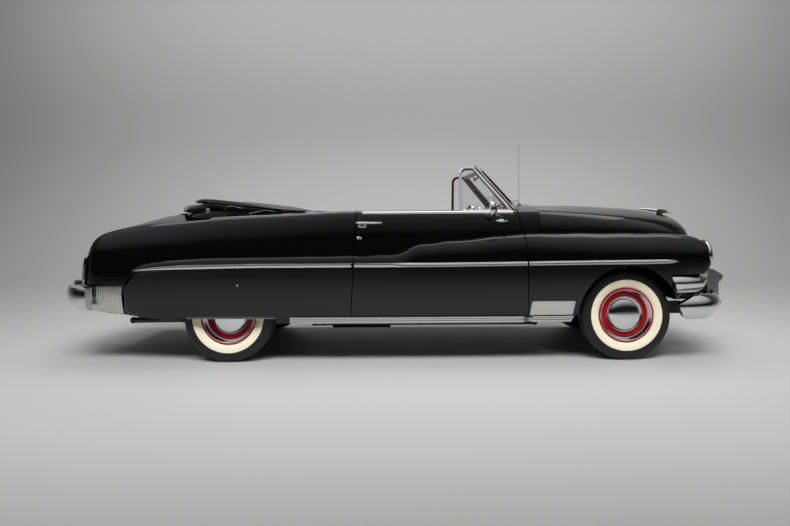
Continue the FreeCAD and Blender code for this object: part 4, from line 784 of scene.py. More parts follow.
for name, profile, material, slot in (
    ("windshield_reveal", reveal, chrome, "chrome"),
    ("windshield_gasket", gasket, rubber, "tyre"),
    ("windshield_garnish", garnish, maroon_enamel, "maroon_enamel"),
):
    for made in both_sides(name, framed(pane, profile, pane_normal), "root", material, slot, sharp=40.0):
        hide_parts("windshield_frame")
pillar_ends = [foot_side + Vector((-0.004, -0.012, -0.040)), head_side + Vector((-0.004, -0.012, -0.004))]
both_sides("windshield_pillar", tube(pillar_ends, 0.0165, 16, 0.8), "root", black_enamel, "black_enamel")
header_points = [head_side + Vector((-0.010, -0.004, -0.002)),
                 head_side.lerp(head_mid, 0.5) + Vector((-0.010, 0.0, 0.0)),
                 head_mid + Vector((-0.012, 0.0, 0.0))]
header = tube(header_points, 0.018, 16, 0.75)
both_sides("windshield_header", header, "root", maroon_enamel, "maroon_enamel")
stud_section = [(0.0, 0.026), (0.003, 0.025), (0.0045, 0.022), (0.0035, 0.017), (0.0035, 0.008),
                (0.008, 0.004), (0.009, -0.004), (0.0, -0.004)]
for number, share in enumerate((0.28, 0.92)):
    stud_spot = head_side.lerp(head_mid, share) + Vector((-0.006, 0.0, 0.010))
    stud = standing(stud_section, 16, stud_spot, up)
    both_sides("top_stud_{}".format(number), stud, "root", chrome, "chrome")

# Wipers: chromed arms sprung against the glass, each on a spindle through the cowl, with a rubber
# blade clipped in a bright holder.
spindle_spot = top_of(1.000, -0.300, "cowl")
spindle_section = [(0.0, 0.026), (0.006, 0.025), (0.010, 0.020), (0.011, 0.012), (0.017, 0.009),
                   (0.019, 0.002), (0.019, -0.004), (0.0, -0.004)]
spindle = standing(spindle_section, 24, spindle_spot, up)
both_sides("wiper_spindle", spindle, "root", chrome, "chrome")
pane_up = (head_mid - foot_mid).normalized()


def on_pane(y, rise, height):
    """A point over the right pane: its y, how far up the glass, and how far off it."""
    return foot_mid.lerp(foot_side, y / foot_side.y) + pane_up * rise + pane_normal * height


holder_mid = on_pane(-0.400, 0.050, 0.020)
arm = curved([spindle_spot + up * 0.020, spindle_spot.lerp(holder_mid, 0.4) + up * 0.030, holder_mid])
both_sides("wiper_arm", tube(arm, 0.0045, 10, 0.7), "root", chrome, "chrome")
holder = [on_pane(y, rise, height) for y, rise, height in (
    (-0.225, 0.036, 0.013), (-0.310, 0.044, 0.019), (-0.490, 0.044, 0.019), (-0.575, 0.036, 0.013))]
both_sides("wiper_holder", tube(holder, 0.0038, 8), "root", stainless, "stainless")
blade = [on_pane(y, 0.036, 0.0075) for y in (-0.220, -0.580)]
both_sides("wiper_blade", tube(blade, 0.0042, 6), "root", rubber, "tyre")

# Vent windows: a pane in a chromed channel frame with a rounded rear corner, painted on the cabin's
# side, that pivots at the front of the door glass.
vent_rear_top, vent_corner = Vector((0.494, -0.642, 1.462)), 0.050
vent = [Vector((0.880, -0.778, 1.126)), Vector((0.494, -0.778, 1.126))]
downward = (vent[1] - vent_rear_top).normalized()
for degrees in range(90, -1, -15):
    turn = math.radians(degrees)
    inward = along * vent_corner * (1 - math.sin(turn)) + downward * vent_corner * (1 - math.cos(turn))
    vent.append(vent_rear_top + inward)
vent.append(Vector((0.594, -0.642, 1.462)))
vent_out = Vector((0.0, -1.0, 0.4))
channel = [(-0.010, 0.0), (-0.010, 0.007), (-0.006, 0.0105), (0.006, 0.0105), (0.013, 0.006),
           (0.014, 0.002), (0.014, 0.0)]
lining = [(-0.010, -0.001), (-0.010, -0.008), (-0.006, -0.011), (0.006, -0.011), (0.012, -0.006),
          (0.013, -0.001)]
vent_frame = framed(vent, channel, vent_out)
right_frame, left_frame = both_sides("vent_channel", vent_frame, "door_{}", chrome, "chrome", sharp=40.0)
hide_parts("vent_window_right")
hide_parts("vent_window_left")
vent_lining = framed(vent, lining, vent_out)
both_sides("vent_lining", vent_lining, "door_{}", maroon_enamel, "maroon_enamel", sharp=40.0)


def thickened(bm, thickness):
    """A sheet given its wall, with its faces outward."""
    bmesh.ops.solidify(bm, geom=bm.faces, thickness=thickness)
    bmesh.ops.recalc_face_normals(bm, faces=bm.faces)
    return bm


vent_pane = bmesh.new()
vent_pane.faces.new([vent_pane.verts.new(point) for point in vent])
bmesh.ops.inset_region(vent_pane, faces=list(vent_pane.faces), thickness=0.010, use_even_offset=True)
rim_faces = [face for face in vent_pane.faces if len(face.verts) == 4]
bmesh.ops.delete(vent_pane, geom=rim_faces, context="FACES")
both_sides("vent_pane", thickened(vent_pane, 0.004), "door_{}", clear_glass, "glass")

# Mirrors: a silvered glass in a domed, chromed head on a bent stalk, from a foot screwed to the door
# below its belt.
# Silvered glass gives a plain, sharp mirror.
mirror_silver = even("mirror_silver", {"Base Color": linear("#e4e6e7"), "Metallic": 1.0, "Roughness": 0.01})
mirror_spot = Vector((0.704, -0.990, 1.146))
mirror_section = [(0.0, 0.043), (0.014, 0.042), (0.030, 0.037), (0.044, 0.027), (0.054, 0.013),
                  (0.0585, -0.001), (0.0590, -0.008), (0.0570, -0.010), (0.0540, -0.008), (0.0, -0.007)]
mirror_head = standing(mirror_section, 48, mirror_spot, along)
right_head, left_head = both_sides("mirror_head", mirror_head, "door_{}", chrome, "chrome")
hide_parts("mirror_right")
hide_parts("mirror_left")
glass_section = [(0.0, -0.0075), (0.0535, -0.0085), (0.0540, -0.0100), (0.0, -0.0095)]
mirror_glass = standing(glass_section, 48, mirror_spot, along)
both_sides("mirror_glass", mirror_glass, "door_{}", mirror_silver, "chrome")
foot, _ = skin(0.795, 1.056, "door_right")
steps = [(-0.008, 0.044, 0.010), (0.004, 0.044, 0.010), (0.008, 0.040, 0.007), (0.010, 0.030, 0.004)]
mirror_foot = drawn(stepped(foot, outboard, along, up, steps, 24))
both_sides("mirror_foot", mirror_foot, "door_{}", chrome, "chrome")
stalk_bends = [foot + Vector((0.022, 0.004, 0.0)), foot + Vector((0.020, -0.030, 0.006)),
               Vector((0.780, -0.935, 1.086)), Vector((0.726, -0.990, 1.112)),
               Vector((0.728, -0.990, 1.138))]
both_sides("mirror_stalk", tube(curved(stalk_bends, 6), 0.0060), "door_{}", chrome, "chrome")

# Antenna: a mast of thin brass tubes, chromed, that slide into each other, with a ball at its tip and
# a domed foot screwed to the left fender.
mast_x, mast_y = 1.160, 0.850
mast_place = Matrix.Translation((mast_x, mast_y, 0.0)) @ Matrix.Rotation(math.radians(90.0), 4, "X")
mast_foot = top_of(mast_x, mast_y, "front_fender_left").z
mast_section = [
    (0.0, 1.792), (0.0028, 1.791), (0.0036, 1.787), (0.0028, 1.783), (0.0016, 1.780), (0.0016, 1.480),
    (0.0024, 1.478), (0.0024, 1.200), (0.0036, 1.197), (0.0036, mast_foot + 0.044),
    (0.0080, mast_foot + 0.040), (0.0100, mast_foot + 0.024), (0.0160, mast_foot + 0.014),
    (0.0200, mast_foot + 0.004), (0.0200, mast_foot - 0.012), (0.0, mast_foot - 0.012),
]
mast = settle("antenna_mast", placed(turned(mast_section, 20), mast_place), "root", chrome, slot="chrome")
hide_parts("antenna")

# Tail lamps: tall red lenses moulded in plastic with fine ribs across, each in a chromed bezel that is
# screwed to the rear corner.
# Moulded red plastic gives a deep glow, a third clear, under a hard gloss.
red_lens = even("red_lens_plastic", {
    "Base Color": linear("#b00c14"), "Roughness": 0.08, "Transmission Weight": 0.35})
tail_y, tail_middle, tail_half = -0.722, 0.6935, 0.1185
bezel_half, lens_half, lens_share = 0.028, 0.019, 0.9
bezel_section = [(-1.0, 0.006), (-1.0, -0.008), (-0.82, -0.014), (-0.66, -0.009), (0.66, -0.009),
                 (0.82, -0.014), (1.0, -0.008), (1.0, 0.006)]
bulge_section = [(-1.0, 0.0), (-0.8, 0.55), (-0.4, 0.9), (0.0, 1.0), (0.4, 0.9), (0.8, 0.55), (1.0, 0.0)]
bezel, lens_rows = [], []
for z in run(tail_middle - tail_half, tail_middle + tail_half, 0.010):
    point, _ = struck((-3.0, tail_y, z), along, "rear_quarter_right")
    spot = Vector((point.x, tail_y, z))
    share = abs(z - tail_middle) / tail_half
    half = bezel_half * math.sqrt(max(0.03, 1.0 - share ** 6))
    bezel.append([spot + across * (half * u) + along * w for u, w in bezel_section])
    if share < lens_share:
        rib = 0.0015 * math.cos(math.pi * len(lens_rows))
        bulge = 0.0110 * math.sqrt(max(0.0, 1.0 - (share / lens_share) ** 4)) + rib
        taper = math.sqrt(max(0.05, 1.0 - (share / 0.92) ** 6))
        lens_rows.append([spot + across * (lens_half * u * taper) + along * (-0.008 - bulge * w)
                          for u, w in bulge_section])
both_sides("tail_bezel", drawn(bezel), "root", chrome, "chrome", sharp=45.0)
for lens_piece in both_sides("tail_lens", drawn(lens_rows), "root", red_lens, "red_lens", sharp=45.0):
    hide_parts("tail_lamps")

# Trunk lid: a chromed pull bolted through the lid near its foot, and above the bumper a blank plate of
# pressed steel in a bright holder.
# Stoved cream enamel gives an even, half-dull face.
plate_paint = even("cream_plate_enamel", {"Base Color": linear("#d8d2bd"), "Roughness": 0.35})


def on_lid(y, z, height):
    """A point off the trunk lid's rear face."""
    point, normal = struck((-3.0, y, z), (1.0, 0.0, 0.0), "trunk_lid")
    return point + normal * height


plate_half, plate_foot, plate_top = 0.155, 0.668, 0.815
plate_corners = [on_lid(y, z, 0.019) for y, z in (
    (plate_half, plate_foot), (-plate_half, plate_foot), (-plate_half, plate_top), (plate_half, plate_top))]
holder_section = [(-0.006, -0.021), (-0.006, 0.004), (-0.002, 0.006), (0.006, 0.004), (0.006, -0.021)]
plate_holder = framed(plate_corners, holder_section, Vector((-1.0, 0.0, 0.2)))
settle("plate_holder", plate_holder, "trunk_lid", stainless, sharp=40.0, slot="stainless")
plate = bmesh.new()
plate.faces.new([plate.verts.new(point) for point in plate_corners])
settle("blank_plate", thickened(plate, 0.002), "trunk_lid", plate_paint)
pull, half_pull = [], 0.110
pull_way, pull_rise = Vector((-0.85, 0.0, 0.5)), Vector((0.5, 0.0, 0.85))
for y in run(-half_pull, half_pull, 0.0137):
    share = abs(y) / half_pull
    swell = math.sqrt(max(0.02, 1 - share ** 3))
    middle = on_lid(y, 0.872 - 0.010 * share ** 2, 0.012 * (1 - 0.8 * share ** 2))
    pull.append(oval(middle, pull_way, pull_rise, 0.010 * swell, 0.016 * swell, 14))
settle("trunk_pull", drawn(pull), "trunk_lid", chrome, slot="chrome")

# Cabin trim: sewn red leather over padded boards clipped to the doors and sides, red wool carpet
# glued to the floor, and chromed cranks and pulls screwed through the boards.
# Leather gives a soft sheen, worn in patches of 170 mm, over a 2.4 mm grain, coarse so that it shows.
red_leather, tree = blank("red_leather")
coords = add(tree, "TexCoord")
grain = add(tree, "TexVoronoi", values={"Scale": 420.0}, links={"Vector": (coords, "Object")})
wear = add(tree, "TexNoise", values={"Scale": 6.0, "Detail": 4.0}, links={"Vector": (coords, "Object")})
tone = add(tree, "Mix", {"data_type": "RGBA"}, {"A": linear("#7a0f16"), "B": linear("#5c0a10")},
           {0: (wear, 0)})
rough = add(tree, "MapRange", values={"To Min": 0.38, "To Max": 0.55}, links={"Value": (wear, 0)})
creases = add(tree, "Bump", values={"Strength": 0.3, "Distance": 0.0006}, links={"Height": (grain, 0)})
shader = add(tree, "BsdfPrincipled",
             links={"Base Color": (tone, 2), "Roughness": (rough, 0), "Normal": (creases, 0)})
add(tree, "OutputMaterial", links={"Surface": (shader, "BSDF")})
# Wool loops, 4 mm apart, give a dark, soft red with no sheen.
red_carpet, tree = blank("red_wool_carpet")
coords = add(tree, "TexCoord")
loops = add(tree, "TexVoronoi", values={"Scale": 260.0}, links={"Vector": (coords, "Object")})
tone = add(tree, "Mix", {"data_type": "RGBA"}, {"A": linear("#3c070b"), "B": linear("#5a0d12")},
           {0: (loops, 0)})
pile = add(tree, "Bump", values={"Strength": 0.8, "Distance": 0.002}, links={"Height": (loops, 0)})
shader = add(tree, "BsdfPrincipled", values={"Roughness": 0.95},
             links={"Base Color": (tone, 2), "Normal": (pile, 0)})
add(tree, "OutputMaterial", links={"Surface": (shader, "BSDF")})

carpet_middle, carpet_length, carpet_width = 0.185, 1.10, 1.44
carpet = bmesh.new()
bmesh.ops.create_grid(carpet, x_segments=44, y_segments=96, size=0.5)
for vert in carpet.verts:
    x, y = carpet_middle + vert.co.x * carpet_length, vert.co.y * carpet_width
    point, _ = struck((x, y, 0.9), (0.0, 0.0, -1.0), "floor_pan")
    vert.co = (x, y, point.z + 0.006)
settle("carpet", thickened(carpet, 0.005), "root", red_carpet)


def upholstered(width, height, deep, pitch, border):
    """A trim panel lying in X and Y with its face up: a smooth border and sewn flutes within it."""
    bm = bmesh.new()
    bmesh.ops.create_grid(bm, x_segments=round(width / 0.011), y_segments=round(height / 0.022), size=0.5)
    for vert in bm.verts:
        x, y = vert.co.x * width, vert.co.y * height
        edge = min(width / 2 - abs(x), height / 2 - abs(y))
        rise = deep * min(1.0, math.sqrt(max(0.0, edge) / 0.012))
        if edge > border:
            flute = (x + width / 2) / pitch
            share = (flute - math.floor(flute)) * 2 - 1
            rise = deep * (1.0 - 0.75 * share ** 4)
        vert.co = (x, y, rise)
    return bm


for part, body, wall, x0, x1, z0, z1 in (
    ("door", "door_{}", -0.762, -0.300, 0.725, 0.375, 1.110),
    ("side", "root", -0.742, -0.880, -0.322, 0.440, 1.105),
):
    card = thickened(upholstered(x1 - x0, z1 - z0, 0.007, 0.045, 0.085), 0.003)
    upright = Matrix.Rotation(math.radians(-90.0), 4, "X")
    at = Matrix.Translation(((x0 + x1) / 2, wall + 0.001, (z0 + z1) / 2)) @ upright
    both_sides(part + "_card", placed(card, at), body, red_leather, "red_leather", sharp=60.0)
steps = [(x, 0.004, 0.009) for x in run(-0.270, 0.705, 0.1)]
strip = drawn(stepped(Vector((0.0, -0.752, 0.990)), along, across, up, steps, 10))
both_sides("door_card_strip", strip, "door_{}", stainless, "stainless")
steps = [(x, 0.024 * share, 0.022 * share) for x, share in (
    (0.020, 0.3), (0.030, 0.8), (0.060, 1.0), (0.200, 1.05), (0.340, 1.0), (0.370, 0.8), (0.380, 0.3))]
rest = drawn(stepped(Vector((0.0, -0.732, 0.850)), along, across, up, steps))
for arm_rest in both_sides("arm_rest", rest, "door_{}", red_leather, "red_leather"):
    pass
boss_section = [(0.005, 0.020), (0.016, 0.012), (0.020, 0.004), (0.020, -0.004), (0.0, -0.004)]
for name, x, z in (("window_crank", 0.470, 0.760), ("door_pull", 0.600, 0.930)):
    boss = standing(boss_section, 24, Vector((x, -0.754, z)), across)
    both_sides(name + "_boss", boss, "door_{}", chrome, "chrome")
    lever = curved([Vector((x, -0.736, z)), Vector((x - 0.040, -0.728, z + 0.004)),
                    Vector((x - 0.105, -0.732, z - 0.004))], 5)
    both_sides(name, tube(lever, 0.0060, 12, 0.7), "door_{}", chrome, "chrome")

# Dashboard: pressed steel in maroon enamel, with a round speedometer, four small dials, a radio
# grille, a glove box and turned knobs, whose bright parts are chromed and held from behind.
dress(maroon_enamel, "dashboard")
# Matt paint gives the dials an even black.
dial_black = even("black_dial_paint", {"Base Color": linear("#0c0c0d"), "Roughness": 0.4})
# Printed ivory gives plain warm marks.
dial_ivory = even("ivory_dial_marks", {"Base Color": linear("#e6dfc6"), "Roughness": 0.5})


def on_dash(y, z):
    """A point of the dash's face, and the way it faces."""
    return struck((0.2, y, z), (1.0, 0.0, 0.0), "dashboard")


def pointer(marks, degrees, middle, lift, wide, thick, long):
    """A flat bar on a dial, turned about its axle: middle is how far out its own middle lies."""
    turn = Matrix.Rotation(math.radians(degrees), 4, "Y")
    size = Matrix.Diagonal((wide, thick, long, 1))
    bmesh.ops.create_cube(marks, size=1.0, matrix=turn @ Matrix.Translation((0.0, lift, middle)) @ size)


for number, (y, z, radius, ticks) in enumerate((
    (0.372, 1.118, 0.066, 13), (0.500, 1.108, 0.036, 5), (0.244, 1.108, 0.036, 5), (0.596, 1.104, 0.036, 5),
    (0.150, 1.104, 0.036, 5),
)):
    dial_spot, out = on_dash(y, z)
    bezel_section = [(radius - 0.006, -0.004), (radius + 0.004, -0.004), (radius + 0.005, 0.006),
                     (radius + 0.001, 0.012), (radius - 0.004, 0.012), (radius - 0.006, 0.008)]
    bezel = standing(bezel_section, 48, dial_spot, out)
    settle("dial_bezel_{}".format(number), bezel, "root", chrome, slot="chrome")
    face_section = [(0.0, 0.003), (radius - 0.005, 0.003), (radius - 0.005, -0.003), (0.0, -0.003)]
    settle("dial_face_{}".format(number), standing(face_section, 48, dial_spot, out), "root", dial_black)
    marks = bmesh.new()
    for i in range(ticks):
        pointer(marks, -120 + 240 * i / (ticks - 1), radius * 0.76, 0.0036, 0.0022, 0.0010, radius * 0.16)
    pointer(marks, -120, radius * 0.36, 0.0046, 0.0018, 0.0012, radius * 0.72)
    settle("dial_marks_{}".format(number), placed(marks, facing(dial_spot, out)), "root", dial_ivory)
knob_section = [(0.0, 0.046), (0.007, 0.045), (0.010, 0.040), (0.008, 0.032), (0.005, 0.026), *boss_section]
dash_knob = [(radius * 0.75, distance * 0.7) for radius, distance in knob_section]
for number, y in enumerate((0.620, 0.545, 0.200, 0.125, -0.125, -0.200)):
    knob = standing(dash_knob, 20, *on_dash(y, 1.030))
    settle("dash_knob_{}".format(number), knob, "root", chrome, slot="chrome")
for number in range(7):
    slat = []
    for y in run(-0.115, 0.090, 0.041):
        point, out = on_dash(y, 1.052 + 0.016 * number)
        slat.append(oval(point + out * 0.002, along, up, 0.005, 0.0038, 10))
    settle("radio_slat_{}".format(number), drawn(slat), "root", chrome, slot="chrome")
lid_corners = []
for y, z in ((-0.260, 1.050), (-0.560, 1.050), (-0.560, 1.125), (-0.260, 1.125)):
    point, out = on_dash(y, z)
    lid_corners.append(point + out * 0.001)
lid_section = [(0.0, -0.003), (0.0, 0.003), (0.002, 0.0045), (0.005, 0.003), (0.005, -0.003)]
glove = framed(lid_corners, lid_section, Vector((-1.0, 0.0, 0.0)))
settle("glove_box_trim", glove, "root", chrome, sharp=40.0, slot="chrome")
lid_knob = [(radius * 0.7, distance * 0.5) for radius, distance in knob_section]
settle("glove_box_knob", standing(lid_knob, 20, *on_dash(-0.410, 1.068)), "root", chrome, slot="chrome")

# Steering wheel: a steel core moulded in maroon plastic, with finger grips and two swept spokes, a
# chromed horn ring on two stays and a domed hub cap that hides the nut.
# Moulded plastic gives a deep, even maroon with a polished look.
wheel_plastic = even("maroon_wheel_plastic", {"Base Color": linear("#4a0b13"), "Roughness": 0.18})


def bead_section(radius, distance, thick, step):
    """A round section for a turned ring."""
    turns = [math.radians(degrees) for degrees in range(0, 360, step)]
    return [(radius + thick * math.cos(turn), distance + thick * math.sin(turn)) for turn in turns]


column_slope = math.radians(28.0)
rim_radius, rim_thick, grips, grip_depth = 0.215, 0.0110, 30, 0.0012
column_way = Vector((math.cos(column_slope), 0.0, -math.sin(column_slope)))
wheel_place = facing(Vector((0.540, 0.372, 0.996)), -column_way)
wheel_up = wheel_place.to_3x3() @ up
rim_ring = turned(bead_section(rim_radius, 0.0, rim_thick, 24), 120)
for vert in rim_ring.verts:
    angle = math.atan2(vert.co.x, vert.co.z)
    radius = math.hypot(vert.co.x, vert.co.z)
    if radius < rim_radius - 0.001 or vert.co.y < -0.004:
        grip = grip_depth * math.cos(grips * angle)
        vert.co.x += grip * math.sin(angle)
        vert.co.z += grip * math.cos(angle)
rim_ring = placed(rim_ring, wheel_place)
rim_piece = settle("steering_rim", rim_ring, "steering_wheel", wheel_plastic, slot="wheel_plastic")
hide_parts("steering_wheel")
for number, sign in enumerate((-1.0, 1.0)):
    spoke = []
    for x, y, z, thick, tall in (
        (0.020, -0.022, 0.0, 0.008, 0.026), (0.080, -0.020, 0.006, 0.006, 0.020),
        (0.150, -0.010, 0.012, 0.005, 0.015), (0.212, 0.0, 0.014, 0.006, 0.014),
    ):
        spoke.append(oval(wheel_place @ Vector((sign * x, y, z)), column_way, wheel_up, thick, tall, 16))
    spoke_name = "steering_spoke_{}".format(number)
    settle(spoke_name, drawn(spoke), "steering_wheel", wheel_plastic, slot="wheel_plastic")
hub_section = [(0.0, 0.012), (0.014, 0.011), (0.026, 0.007), (0.033, 0.000), (0.035, -0.008),
               (0.036, -0.030), (0.033, -0.055), (0.0, -0.055)]
hub = placed(turned(hub_section, 40), wheel_place)
settle("steering_hub", hub, "steering_wheel", chrome, slot="chrome")
horn = placed(turned(bead_section(0.118, -0.010, 0.0038, 45), 72), wheel_place)
settle("horn_ring", horn, "steering_wheel", chrome, slot="chrome")
for number, sign in enumerate((-1.0, 1.0)):
    stay_ends = [wheel_place @ Vector((sign * x, y, 0.0)) for x, y in ((0.024, -0.004), (0.119, -0.010))]
    stay = tube(stay_ends, 0.0038, 10)
    settle("horn_stay_{}".format(number), stay, "steering_wheel", chrome, slot="chrome")

# Seats: sewn leather covers over springs and padding, a bench cushion with two folding backs in front
# and a bench behind, inflated as cloth to give them their crown and then drawn in at the flutes.
cover_pressure, cover_frames = 4.0, 20
seam_pitch, seam_depth = 0.052, 0.010


def puffed(bm, voxel, cap):
    """The mesh as a filled cover: remeshed, blown up as cloth, and held to a greatest swelling."""
    mesh = bpy.data.meshes.new("cover")
    bm.to_mesh(mesh)
    bm.free()
    cover = bpy.data.objects.new("cover", mesh)
    bpy.context.scene.collection.objects.link(cover)
    remesh = cover.modifiers.new("remesh", "REMESH")
    remesh.mode = "VOXEL"
    remesh.voxel_size = voxel
    smooth = cover.modifiers.new("smooth", "SMOOTH")
    smooth.factor = 0.5
    smooth.iterations = 4
    bpy.context.view_layer.update()
    start = bpy.data.meshes.new_from_object(cover.evaluated_get(bpy.context.evaluated_depsgraph_get()))
    cover.modifiers.clear()
    cover.data = start
    cloth = cover.modifiers.new("cloth", "CLOTH")
    cloth.settings.quality = 5
    cloth.settings.mass = 0.3
    cloth.settings.tension_stiffness = 15.0
    cloth.settings.compression_stiffness = 15.0
    cloth.settings.bending_stiffness = 0.5
    cloth.settings.use_pressure = True
    cloth.settings.uniform_pressure_force = cover_pressure
    cloth.settings.effector_weights.gravity = 0.0
    cloth.collision_settings.use_collision = False
    cloth.point_cache.frame_start = 1
    cloth.point_cache.frame_end = cover_frames
    for frame_number in range(1, cover_frames + 1):
        bpy.context.scene.frame_set(frame_number)
    blown = bpy.data.meshes.new_from_object(cover.evaluated_get(bpy.context.evaluated_depsgraph_get()))
    cover.modifiers.clear()
    bpy.context.scene.frame_set(1)
    for vert, other in zip(start.vertices, blown.vertices):
        move = other.co - vert.co
        if move.length > cap:
            move *= cap / move.length
        vert.co += move
    made = bmesh.new()
    made.from_mesh(start)
    bpy.data.objects.remove(cover)
    return made


def sewn(bm, way, low, high):
    """Flutes across the car: points within a box that face one way are drawn in along the seams."""
    bm.normal_update()
    moves = []
    for vert in bm.verts:
        inside = min(min(vert.co[i] - low[i], high[i] - vert.co[i]) for i in range(3))
        if vert.normal.dot(way) > 0.5 and inside > 0.0:
            groove = abs((vert.co.y / seam_pitch) % 1.0 - 0.5) * 2.0
            moves.append((vert, -vert.normal * seam_depth * groove ** 5 * min(1.0, inside / 0.02)))
    for vert, move in moves:
        vert.co += move
    return bm


def rounded(bm, edge, segments):
    """The mesh with all its edges rounded off."""
    bmesh.ops.bevel(bm, geom=list(bm.edges), offset=edge, offset_type="OFFSET", segments=segments,
                    profile=0.5, affect="EDGES", material=-1)
    return bm


def block(low, high):
    """A cushion's filling: a box with rounded edges."""
    bm = bmesh.new()
    middle, size = (Vector(low) + Vector(high)) / 2, Vector(high) - Vector(low)
    bmesh.ops.create_cube(bm, size=1.0, matrix=Matrix.Translation(middle) @ Matrix.Diagonal((*size, 1.0)))
    return rounded(bm, 0.035, 4)


def slab(outline, near, far, edge):
    """A back's filling: an outline in X and Z carried across the car, with rounded edges."""
    return rounded(drawn([[Vector((x, y, z)) for x, z in outline] for y in (near, far)]), edge, 3)


def soften(piece, node):
    """Makes a padded piece stand for its plain solid, with one level of subdivision."""
    soft = piece.modifiers.new("subdivision", "SUBSURF")
    soft.levels = soft.render_levels = 1
    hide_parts(node)


back_way = Vector((0.99, 0.0, 0.15))
front_outline = [(-0.158, 0.536), (-0.056, 0.536), (-0.054, 0.700), (-0.122, 1.136), (-0.204, 1.136),
                 (-0.203, 1.095)]
rear_outline = [(-0.880, 0.655), (-0.715, 0.655), (-0.806, 1.106), (-0.880, 1.106)]
for name, node, filling, voxel, cap, way, low, high in (
    ("front_cushion", "front_seat_cushion", block((-0.026, -0.678, 0.534), (0.408, 0.678, 0.672)),
     0.010, 0.016, up, (0.050, -0.600, 0.60), (0.370, 0.600, 0.75)),
    ("seat_back_right", "front_seat_backs", slab(front_outline, -0.016, -0.680, 0.022),
     0.010, 0.010, back_way, (-0.20, -0.615, 0.62), (0.0, -0.080, 1.07)),
    ("seat_back_left", "front_seat_backs", slab(front_outline, 0.016, 0.680, 0.022),
     0.010, 0.010, back_way, (-0.20, 0.080, 0.62), (0.0, 0.615, 1.07)),
    ("rear_cushion", "rear_seat_cushion", block((-0.880, -0.615, 0.350), (-0.412, 0.615, 0.626)),
     0.012, 0.012, up, (-0.78, -0.560, 0.55), (-0.450, 0.560, 0.70)),
    ("rear_back", "rear_seat_back", slab(rear_outline, -0.598, 0.598, 0.025),
     0.010, 0.012, back_way, (-0.90, -0.540, 0.70), (-0.6, 0.540, 1.06)),
):
    cover = sewn(puffed(filling, voxel, cap), way, low, high)
    soften(settle(name, cover, "root", red_leather, sharp=180.0, slot="red_leather"), node)

# Folded top: black canvas over padded bows, laid in its well in four long folds, with the ends of its
# steel linkage beside it, screwed to the body at a chromed pivot.
# Canvas gives a dead black with a faint weave of 1.4 mm, coarser than the real 1 mm so that it shows.
black_canvas, tree = blank("black_canvas")
coords = add(tree, "TexCoord")
warp = add(tree, "TexWave", {"wave_type": "BANDS", "bands_direction": "X"}, {"Scale": 220.0},
           {"Vector": (coords, "Object")})
weft = add(tree, "TexWave", {"wave_type": "BANDS", "bands_direction": "Y"}, {"Scale": 220.0},
           {"Vector": (coords, "Object")})
weave = add(tree, "Math", {"operation": "MULTIPLY"}, links={0: (warp, 1), 1: (weft, 1)})
threads = add(tree, "Bump", values={"Strength": 0.5, "Distance": 0.0008}, links={"Height": (weave, 0)})
shader = add(tree, "BsdfPrincipled", links={"Normal": (threads, 0)}, values={
    "Base Color": linear("#101012"), "Roughness": 0.85, "Sheen Weight": 0.3})
add(tree, "OutputMaterial", links={"Surface": (shader, "BSDF")})


forward_sweep, sweep_from = 0.16, -0.75


def crumple(x, y, z):
    """Small folds that don't repeat, from waves of unlike lengths."""
    long_wave = math.sin(7.3 * y + 5.1 * x + 1.0)
    middle_wave = 0.6 * math.sin(17.9 * y - 9.7 * x + 11.0 * z)
    return (long_wave + middle_wave + 0.4 * math.sin(31.0 * y + 23.0 * x)) / 2.0


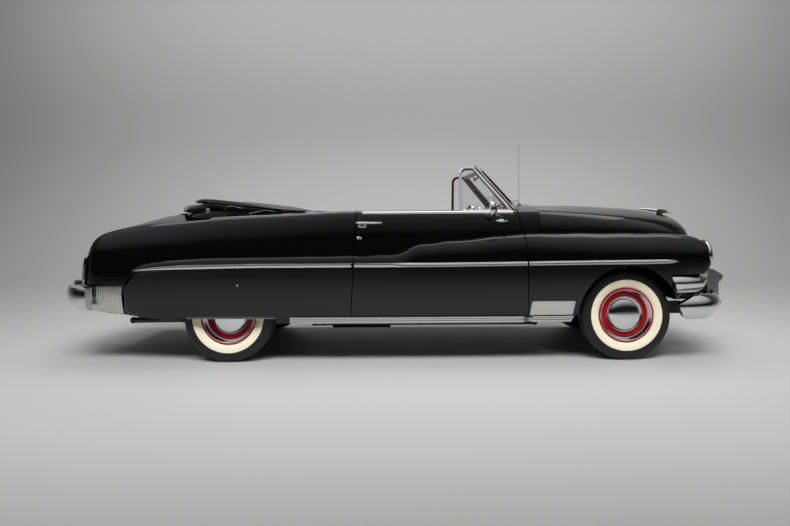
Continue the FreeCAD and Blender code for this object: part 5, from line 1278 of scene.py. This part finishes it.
for name, half_width, ruck, lobes, rows in (
    ("top_lower_fold", 0.640, 0.006, 5.0, (
        (-1.770, 1.060, 0.010), (-1.755, 1.072, 0.045), (-1.700, 1.085, 0.068), (-1.560, 1.095, 0.075),
        (-1.350, 1.090, 0.070), (-1.150, 1.080, 0.060), (-0.990, 1.070, 0.045), (-0.930, 1.066, 0.030),
        (-0.918, 1.064, 0.008))),
    ("top_rear_roll", 0.655, 0.005, 6.0, (
        (-1.790, 1.150, 0.006), (-1.780, 1.156, 0.022), (-1.745, 1.160, 0.034), (-1.690, 1.164, 0.036),
        (-1.620, 1.170, 0.030), (-1.560, 1.176, 0.020), (-1.530, 1.180, 0.006))),
    ("top_middle_fold", 0.660, 0.004, 7.0, (
        (-1.660, 1.186, 0.006), (-1.640, 1.190, 0.016), (-1.500, 1.186, 0.020), (-1.300, 1.168, 0.020),
        (-1.120, 1.150, 0.018), (-0.980, 1.134, 0.016), (-0.940, 1.130, 0.005))),
    ("top_upper_fold", 0.665, 0.003, 8.0, (
        (-1.690, 1.216, 0.005), (-1.672, 1.222, 0.013), (-1.600, 1.226, 0.016), (-1.400, 1.210, 0.015),
        (-1.200, 1.188, 0.014), (-1.020, 1.166, 0.012), (-0.925, 1.150, 0.010), (-0.908, 1.146, 0.004))),
):
    outlines = []
    for y in run(-half_width, half_width, 0.02):
        reach = abs(y) / half_width
        end = math.sqrt(max(0.03, 1.0 - reach ** 14))
        ring_top, ring_low = [], []
        for x, z, thick in rows:
            x += forward_sweep * reach ** 2.5 * min(1.0, sweep_from - x)
            lift = ruck * crumple(x, y, z)
            slack = 0.25 * thick * math.sin(lobes * y + 3.0 * x)
            ring_top.append(Vector((x, y, z + lift + (thick + slack) * end)))
            ring_low.append(Vector((x, y, z + lift - thick * end)))
        outlines.append(ring_top + ring_low[::-1])
    piece = settle(name, drawn(outlines), "root", black_canvas, sharp=80.0, slot="black_canvas")
    soften(piece, "folded_top")
linkage_y = -0.686
for name, points, radius, finish, slot in (
    ("top_rail", ((-1.470, 1.212), (-1.180, 1.184), (-0.880, 1.150), (-0.660, 1.137)), 0.0070,
     black_enamel, "black_enamel"),
    ("top_link", ((-1.330, 1.150), (-1.292, 1.178), (-1.245, 1.172), (-1.198, 1.160)), 0.0060,
     chrome, "chrome"),
    ("top_prop", ((-1.140, 1.120), (-1.070, 1.132), (-1.000, 1.142), (-0.943, 1.132)), 0.0065,
     chrome, "chrome"),
):
    linkage = tube(curved([Vector((x, linkage_y, z)) for x, z in points], 4), radius, 12, 0.6)
    both_sides(name, linkage, "root", finish, slot)
pivot_section = [(0.0, 0.010), (0.010, 0.009), (0.018, 0.005), (0.020, 0.0), (0.020, -0.006), (0.0, -0.006)]
pivot = standing(pivot_section, 24, Vector((-1.455, -0.700, 1.142)), outboard)
both_sides("top_pivot", pivot, "root", chrome, "chrome")

# Interior mirror: a chromed case pressed from sheet, on a short stem screwed to the header, with its
# glass facing the driver.
case_spot = Vector((0.0, 0.0, 1.418))
case_steps = [(0.652, 0.092, 0.026), (0.658, 0.098, 0.030), (0.668, 0.096, 0.029), (0.678, 0.080, 0.022),
              (0.683, 0.040, 0.010)]
mirror_case = drawn(stepped(case_spot, along, across, up, case_steps, 28))
settle("cabin_mirror", mirror_case, "root", chrome, slot="chrome")
silver_steps = [(0.6505, 0.090, 0.0245), (0.653, 0.090, 0.0245)]
silver = drawn(stepped(case_spot, along, across, up, silver_steps, 28))
settle("cabin_mirror_glass", silver, "root", mirror_silver)
stem = curved([Vector((0.676, 0.0, 1.420)), Vector((0.695, 0.0, 1.436)), Vector((0.708, 0.0, 1.466))], 5)
settle("cabin_mirror_stem", tube(stem, 0.005), "root", chrome, slot="chrome")
